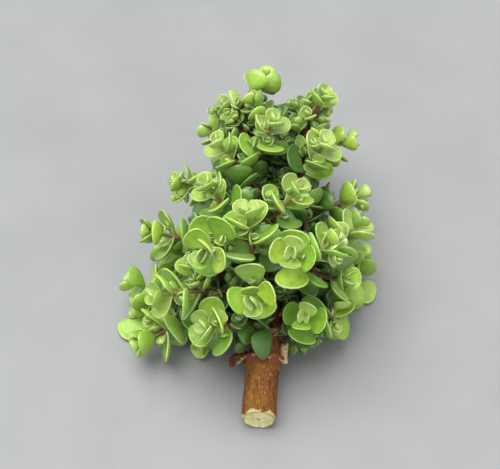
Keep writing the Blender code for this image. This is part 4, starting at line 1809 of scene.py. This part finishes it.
@dataclass
class BarkSurface:
    """Gathers closed tubes of bark into one mesh."""

    points: list[BarkPoint] = field(default_factory=list)
    faces: Faces = field(default_factory=list)

    def add_tube(self, rings: list[list[BarkPoint]], sunk: Vector = Vector()) -> None:
        """Adds a tube of rings of points, whose start closes with a sunk point."""
        self.faces += tube_faces(len(rings[0]), len(rings), len(self.points))
        for ring in rings:
            self.points += ring
        for ring, shift in ((rings[0], sunk), (rings[-1], Vector())):
            middle = sum((p.place for p in ring), Vector()) / len(ring)
            self.points.append(ring[0]._replace(place=middle + shift))

    def make(self, name: str, finish: Material) -> Object:
        """The gathered tubes as one smooth object."""
        values = {key: [getattr(p, key) for p in self.points] for key in ("grain", "furrow", "ring")}
        mesh = new_mesh(name, [p.place for p in self.points], self.faces, values)
        mesh.materials.append(finish)
        return link_mesh(mesh)


@dataclass
class Wood:
    """The trunk with its cut end, the boughs, leaders and spurs, and the dried stub at the old ring."""

    layout: WoodLayout
    stem_sizes: StemLayout
    place: Vector
    cut_slant: float = radians(17)
    trunk_sides: int = 84
    trunk_step: float = 0.45 * MM
    cut_blend: float = 12 * MM
    limb_sides: int = 20
    limb_step: float = 0.8 * MM
    spur_sides: int = 12
    furrow_depth: float = 0.32
    node_spacing: float = 7.5 * MM
    lowest: float = 0.03 * MM  # the bark stays this far above the surface
    cut_sunk: float = 3 * MM  # how far inside the trunk its tube is closed
    # How much a limb flares at its root and swells at its nodes, and over what lengths
    flare: float = 0.55
    flare_length: float = 1.5 * MM
    node_swell: float = 0.09
    node_length: float = 0.7 * MM
    limb_rough: float = 0.45
    closings: tuple = (1.0, 0.93, 0.72)  # a limb's thickness before its last two rings, and at them
    # Start of the first limb's bark pattern, and the shift of each next one's
    pattern_start: float = 100 * MM
    pattern_step: float = 40 * MM
    face_rings: int = 14
    face_back: float = 1.2 * MM
    face_dish: float = 0.35  # depth of the cut face's hollow, in mm
    # How far up a bough and a leader come out of what carries them
    flares: tuple = ((LimbKind.BOUGH, 5.5 * MM), (LimbKind.LEADER, 0.0))
    # The dried stub of an old bough: (along the trunk, out from its axis) in mm, and its radii
    stub_turn: float = radians(-97)
    stub_path: tuple = ((28.2, 6.5), (28.6, 10.4), (27.4, 12.1), (24.2, 12.4))
    stub_radii: tuple = (1.9 * MM, 1.1 * MM, 1.5 * MM, 1.4 * MM, 1.1 * MM)

    def relief(self, grain: Vector) -> tuple[float, float]:
        """Height of the bark in mm and depth of its furrows, from 0 to 1, at its own coordinates in mm."""
        streak = bumps(grain.x * 0.75, grain.y * 0.75, grain.z * 0.10)
        wander = bumps(grain.x * 0.3, grain.y * 0.3, grain.z * 0.2 + 50)
        furrow = 1 - smoothstep(0.0, 0.20, abs(streak + wander * 0.3))
        lumps = noise.noise(grain * 0.28 + Vector((9, 3, 0))) * 0.40
        crumbs = bumps(grain.x * 1.6, grain.y * 1.6, grain.z * 0.6) * 0.13
        return lumps + crumbs - furrow * self.furrow_depth, furrow

    def bark_point(
        self, centre: Vector, out: Vector, turn: float, radius: float, along: float, rough: float, ring: float
    ) -> BarkPoint:
        """A point of a limb's bark.

        Args:
            centre: Point on the limb's centre line.
            out: Direction from it.
            turn: That direction as an angle round the limb.
            radius: Radius of the limb.
            along: Distance along the limb.
            rough: Times the usual relief.
            ring: How much it belongs to the reddish ring, from 0 to 1.

        Returns:
            The point.
        """
        grain = Vector((cos(turn) * radius, sin(turn) * radius, along)) / MM
        height, furrow = self.relief(grain)
        place = centre + out * (radius + height * rough * MM) + self.place
        place.z = max(place.z, self.lowest)
        return BarkPoint(place, tuple(grain), furrow, ring)

    def cut_start(self, turn: float) -> tuple[float, float]:
        """Where the slanted cut meets the trunk at a turn round it, and how far the bark is torn back."""
        round_it = Vector((cos(turn), sin(turn), 0))
        ragged = noise.noise(round_it * 2.2 + Vector((3, 1, 4))) * 0.3 + noise.noise(round_it * 6) * 0.35
        flat = tan(self.cut_slant) * self.layout.axis.base_radius * (1 + cos(turn))
        torn = noise.noise(round_it * 1.6 + Vector((7, 2, 0))) * 2.6 + noise.noise(round_it * 7) * 1.1
        return max(flat + ragged * MM, 0.0), (torn + 0.5 + 0.7 * cos(turn)) * MM

    def trunk_point(self, stations: list[Triple], nominal: float, turn: float) -> BarkPoint:
        """A point of the trunk's bark.

        Args:
            stations: (distance along the axis, offset to the side, radius) of its centre line.
            nominal: Distance along the axis, on a trunk that is cut square.
            turn: Direction round the trunk (0 is up).

        Returns:
            The point.
        """
        axis, ring_at = self.layout.axis, self.layout.ring_at
        start, torn_to = self.cut_start(turn)
        along = nominal + start * max(0.0, 1 - nominal / self.cut_blend)
        after = next((k for k, station in enumerate(stations) if along <= station[0]), len(stations) - 1)
        (a, side, radius), (b, next_side, next_radius) = stations[max(after - 1, 0)], stations[max(after, 1)]
        share = min(max((along - a) / (b - a), 0.0), 1.0)
        side, radius = blend(side, next_side, share), blend(radius, next_radius, share)
        out = axis.out(turn)
        near_ring, collar, groove = (
            exp(-(((along - ring_at - shift * MM) / (wide * MM)) ** 2))
            for shift, wide in ((0, 3.2), (0.4, 1.1), (2.6, 1.0))
        )
        torn = 1 - smoothstep(torn_to - 0.25 * MM, torn_to + 0.25 * MM, along - start)
        shaved = 0.25 * (1 - smoothstep(0.0, 1.6 * MM, along - start)) + 0.3 * torn
        swollen = (0.75 * collar - 0.5 * groove) * (0.7 + 0.9 * noise.noise(out * 1.8))
        radius += (swollen - shaved) * MM
        rough = 1 + 0.9 * near_ring - 0.5 * (1 - smoothstep(0, 3 * MM, along - start))
        return self.bark_point(axis.at(along, side, 0), out, turn, radius, along, rough, near_ring - torn)

    def trunk(self, surface: BarkSurface) -> Path:
        """Adds the trunk's bark.

        Args:
            surface: Where it goes.

        Returns:
            The rim of its cut end.
        """
        axis = self.layout.axis
        points, radii, _ = self.layout.trunk()
        path, sizes = smooth_path(points, radii, self.trunk_step)
        stations = [(axis.place_of(p)[0], (p - axis.base).dot(SIDE), r) for p, r in zip(path, sizes)]
        turns = [tau * i / self.trunk_sides for i in range(self.trunk_sides)]
        steps = range(round(stations[-1][0] / self.trunk_step) + 1)
        rings = [[self.trunk_point(stations, k * self.trunk_step, turn) for turn in turns] for k in steps]
        surface.add_tube(rings, axis.along * self.cut_sunk)
        return [p.place for p in rings[0]]

    def limb(
        self, surface: BarkSurface, path: Path, radii: Radii, sides: int, flare_at: float,
        number: int,
    ) -> None:
        """Adds a bough, leader, spur or stub, which flares where it leaves what carries it.

        Args:
            surface: Where it goes.
            path: Its points.
            radii: Radii evenly spread over them.
            sides: How many sides it has.
            flare_at: Distance along it at which it comes out of its carrier.
            number: Its number, which shifts its bark pattern.
        """
        points, sizes = smooth_path(path, radii, self.limb_step)
        upright = abs((points[1] - points[0]).normalized().z) >= NEARLY_PARALLEL
        frames = turned_frames(points, SIDE if upright else UP)
        gone, rings, last = 0.0, [], len(points) - 1
        for k, (point, radius, (first, second)) in enumerate(zip(points, sizes, frames)):
            gone += (point - points[max(k - 1, 0)]).length
            flare = 1 + self.flare * exp(-max(0.0, gone - flare_at) / self.flare_length)
            knot = exp(-((((gone - flare_at) % self.node_spacing) / self.node_length) ** 2))
            radius *= flare * (1 + self.node_swell * knot) * self.closings[max(0, k - last + 2)]
            along = gone + (self.pattern_start + self.pattern_step * number)
            ring = 0.8 * smoothstep(0.86, 1.0, k / last)
            rings.append([])
            for i in range(sides):
                turn = tau * i / sides
                out = first * cos(turn) + second * sin(turn)
                rings[-1].append(self.bark_point(point, out, turn, radius, along, self.limb_rough, ring))
        surface.add_tube(rings)

    def cut_face(self, rim: Path, finish: Material) -> Object:
        """The trunk's cut face: a thin closed dish inside the bark's rim, rough from the blade.

        Args:
            rim: The rim of the bark.
            finish: Finish of the cut wood.

        Returns:
            The piece.
        """
        middle = sum(rim, Vector()) / len(rim)
        axis = self.layout.axis
        facing = axis.along * -cos(self.cut_slant) + axis.lift * sin(self.cut_slant)
        points, hearts = [], []
        for share in [k / self.face_rings for k in range(1, self.face_rings + 1)]:
            for p in rim:
                point = middle + (p - middle) * share
                rough = noise.noise(point * 900) * 0.10 + noise.noise(point * 260) * 0.16
                dish = self.face_dish * (1 - smoothstep(0.75, 1.0, share))
                points.append(point + facing * (0.02 + rough * (1 - share**8) - dish) * MM)
                hearts.append(share)
        for share in (0.985, 0.5):
            points += [middle + (p - middle) * share - facing * self.face_back for p in rim]
            hearts += [share] * len(rim)
        points += [middle - facing * self.face_dish * MM, middle - facing * self.face_back]
        faces = tube_faces(len(rim), self.face_rings + 2)
        mesh = new_mesh("cut_face", points, faces, {"heart": [*hearts, 0.0, 0.0]})
        mesh.materials.append(finish)
        return link_mesh(mesh)

    def build(self, wood: list[Limb], stems: dict[str, Stem]) -> list[Object]:
        """Builds the wood's pieces.

        Args:
            wood: The limbs.
            stems: The leafy stems, for their spurs.

        Returns:
            The trunk, the boughs and the cut face.
        """
        bark = BarkFinish().make()
        trunk, limbs = BarkSurface(), BarkSurface()
        rim = self.trunk(trunk)
        for number, (points, radii, kind) in enumerate(wood[1:]):
            if kind is not LimbKind.STUB:
                self.limb(limbs, points, radii, self.limb_sides, dict(self.flares)[kind], number)
        for number, stem in enumerate(stems.values()):
            if stem.spur:
                depth = (stem.spur[1] - stem.spur[0]).length - self.stem_sizes.spur_length
                self.limb(limbs, stem.spur, self.stem_sizes.spur_radii, self.spur_sides, depth, number + 20)
        stub = [self.layout.axis.round(along * MM, out * MM, self.stub_turn) for along, out in self.stub_path]
        self.limb(limbs, stub, self.stub_radii, self.spur_sides, 0, 90)
        return [
            hand_over(trunk.make("trunk_bark", bark), "bark", "trunk_and_boughs"),
            hand_over(limbs.make("bough_bark", bark), "bark", "trunk_and_boughs"),
            hand_over(self.cut_face(rim, CutWoodFinish().make()), "bark"),
        ]


@dataclass(frozen=True)
class Flake:
    """One shape of dry bark flake, a unit long and broad, thin, curled across and torn along its edges."""

    seed: int
    curl: float = 0.9
    rows: int = 9
    columns: int = 6
    thickness: float = 0.14
    edge: float = 0.3  # thickness along its edge, as a share of the full one

    def point(self, x: float, y: float, side: float) -> Triple:
        """Where a place on the flat sheet goes, on its upper (0.5) or lower side (-0.5)."""
        torn = 0.75 + 0.5 * bumps(x * 5, self.seed * 3.1, 0)
        long = 1 + 0.35 * bumps(y * 6, self.seed * 5.3, 4)
        wrinkle = 0.5 * bumps(x * 3, y * 4, self.seed * 7.7)
        is_inside = 0.01 < x < 0.99 and abs(y) < 0.49
        thick = self.thickness * side * (1.0 if is_inside else self.edge)
        return x * long, y * torn, self.curl * 4 * y * y * x + wrinkle + thick

    def make(self, name: str) -> Mesh:
        """Builds the flake as a thin closed sheet, thinnest at its edge.

        Args:
            name: Name of the mesh.

        Returns:
            The mesh.
        """
        rows, columns, width = self.rows, self.columns, self.columns + 1
        flat = [(i / rows, j / columns - 0.5) for i in range(rows + 1) for j in range(width)]
        points = [self.point(x, y, side) for side in (-0.5, 0.5) for x, y in flat]
        upper = len(flat)
        corners = [k for k in range(upper - width) if (k + 1) % width]
        lower = [[k, k + 1, k + width + 1, k + width] for k in corners]
        # The upper side has the same quads turned over, which split on the same diagonals
        faces = lower + [[upper + k for k in (quad[0], *quad[:0:-1])] for quad in lower]
        # A wall stands on each edge that only one quad has
        edges = [(quad[k - 1], quad[k]) for quad in lower for k in range(4)]
        faces += [[b, a, upper + a, upper + b] for a, b in edges if (b, a) not in edges]
        return new_mesh(name, points, faces, {})


@dataclass
class Scraps:
    """The dry flakes that stand off the old ring of the trunk."""

    layout: WoodLayout
    place: Vector
    grower: Grower
    forms: int = 4
    # (mm along the trunk, degrees round it, length and breadth in mm, whether it stands on edge)
    flakes: tuple = (
        (26.0, 87, 8.5, 4.2, True),
        (29.5, 100, 5.0, 3.4, True),
        (28.5, 62, 3.2, 2.6, False),
        (28.0, 22, 2.4, 2.2, False),
        (28.8, -18, 2.8, 2.4, False),
        (28.2, -55, 3.2, 2.8, False),
        (27.4, -84, 3.4, 3.0, False),
        (29.0, 135, 3.6, 3.0, False),
        (28.0, 170, 3.0, 3.0, False),
        (28.6, -140, 3.4, 2.8, False),
    )
    thickness: float = 1.1 * MM
    sunk: float = 0.9 * MM

    def build(self) -> Object:
        """Builds the flakes as one piece."""
        sites = Sites(self.place, Random(SEED))
        axis = self.layout.axis
        for number, (along, degrees, length, breadth, on_edge) in enumerate(self.flakes):
            turn = radians(degrees)
            out = axis.out(turn)
            first = axis.along if on_edge else (out * 0.8 - axis.along).normalized()
            third = axis.along.cross(out)
            third = third if on_edge else first.cross(third).normalized()
            frame = Matrix((first, third.cross(first), third)).transposed()
            off = breadth * 0.5 * MM if on_edge else 0.0
            sites.add(
                axis.round(along * MM, self.layout.ring_radius - self.sunk + off, turn),
                is_leaf=True,
                turn=tuple(frame.to_euler("XYZ")),
                size=(length * MM, breadth * MM, self.thickness),
                form=number % self.forms,
            )
        forms = [Flake(seed).make(f"flake_{seed}") for seed in range(1, self.forms + 1)]
        finish = PaperyScrapFinish().make()
        return hand_over(self.grower.grow("bark_flakes", sites, forms, finish, finish), "bark")


# ---- studio

@dataclass(frozen=True)
class Studio:
    """A pale tabletop, soft light from above and a camera that looks down on the cutting."""

    floor_reach: float = 20.0
    camera_at: tuple = (0.01302, -0.26773, 0.43985)
    aim: tuple = (0.0, 0.002, 0.03)
    lens: float = 82.0
    horizon: float = 0.92
    overhead: float = 0.74
    sky: str = "#F4F5F6"
    # Name, kind, place and settings of each light, which faces the cutting
    lights: tuple = (
        ("key", "SUN", (-0.3, 0.2, 1.15), {"energy": 3.9, "angle": radians(55)}),
        ("fill", "AREA", (0.7, -0.6, 0.8), {"energy": 2.6, "size": 0.9}),
    )

    def floor(self) -> None:
        """The tabletop, just under the cutting."""
        signs = (-1, -1), (1, -1), (1, 1), (-1, 1)
        corners = [(x * self.floor_reach, y * self.floor_reach, 0.0) for x, y in signs]
        mesh = bpy.data.meshes.new("tabletop")
        mesh.from_pydata(corners, [], [[0, 1, 2, 3]])
        mesh.materials.append(TabletopFinish().make())
        link_mesh(mesh)

    def stand(self, name: str, data: Any, at: Vector, aim: Vector) -> Object:
        """Stands a lamp or camera at a place, facing its aim."""
        made = bpy.data.objects.new(name, data)
        made.location = at
        made.rotation_euler = (aim - at).to_track_quat("-Z", "Y").to_euler()
        bpy.context.scene.collection.objects.link(made)
        return made

    def world(self) -> None:
        """A pale surround, dim overhead so that gaps between leaves stay dark."""
        sky = bpy.data.worlds.new("surround")
        sky.use_nodes = True
        add = partial(add_node, sky.node_tree)
        height = add("ShaderNodeSeparateXYZ", (add("ShaderNodeTexCoord"),), "Z")
        strength = add("ShaderNodeMapRange", (height, 0.02, 0.30, self.horizon, self.overhead))
        shown = {"Color": linear(self.sky), "Strength": strength}
        fill(sky.node_tree, sky.node_tree.nodes["Background"], shown)
        bpy.context.scene.world = sky

    def build(self) -> None:
        """Sets the scene up."""
        self.floor()
        for name, kind, at, settings in self.lights:
            lamp = bpy.data.lights.new(name, kind)
            for key, value in settings.items():
                setattr(lamp, key, value)
            self.stand(name, lamp, Vector(at), Vector())
        self.world()
        lens = bpy.data.cameras.new("camera")
        lens.sensor_width = 36
        lens.lens = self.lens
        lens.clip_start = 0.01
        scene = bpy.context.scene
        scene.camera = self.stand("camera", lens, Vector(self.camera_at), Vector(self.aim))
        scene.view_settings.view_transform = "Standard"
        scene.view_settings.look = "None"


# ---- main

def frame_offset(layout: LeafLayout, leaves: dict[str, list[Leaf]]) -> Vector:
    """Where the layout's origin lies in the frame, from one stem's solid and its leaves' coarse hulls."""
    corners = [point for leaf in leaves["resting_stem_1"] for point in layout.canopy.hull(leaf)[0]]
    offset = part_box("resting_stem_1")[0] - Vector([min(corner[k] for corner in corners) for k in range(3)])
    return Vector((offset.x, offset.y, 0))


def main() -> None:
    """Lays the cutting out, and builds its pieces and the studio."""
    logging.basicConfig(level=logging.INFO, format="%(name)s: %(message)s")
    for obj in list(bpy.data.objects):
        bpy.data.objects.remove(obj)
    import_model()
    axis = TrunkAxis()
    crown = Crown(axis)
    wood_layout = WoodLayout(axis, crown)
    wood, seats = wood_layout.grow()
    stem_layout = StemLayout(crown)
    stems = stem_layout.grow(seats, wood_layout.resting_seats(wood), wood)
    leaf_layout = LeafLayout(axis, stem_layout)
    leaves = leaf_layout.grow(wood, stems)
    place = frame_offset(leaf_layout, leaves)
    LOG.info("%d stems, %d leaves in the solids", len(stems), sum(map(len, leaves.values())))
    growth = FineGrowth(leaf_layout, stems, leaves)
    growth.grow(wood)
    totals = [sum(map(len, found.values())) for found in (leaves, growth.shoots)]
    LOG.info("%d leaves and %d young shoots in all", *totals)
    grower = Grower()
    pieces = Wood(wood_layout, stem_layout, place).build(wood, stems)
    pieces.append(Scraps(wood_layout, place, grower).build())
    pieces += Foliage(growth, crown, place, grower).build()
    for piece in pieces:
        LOG.info("%s: %d faces", piece.name, len(piece.data.polygons))
    Studio().build()


if __name__ == "__main__":
    main()
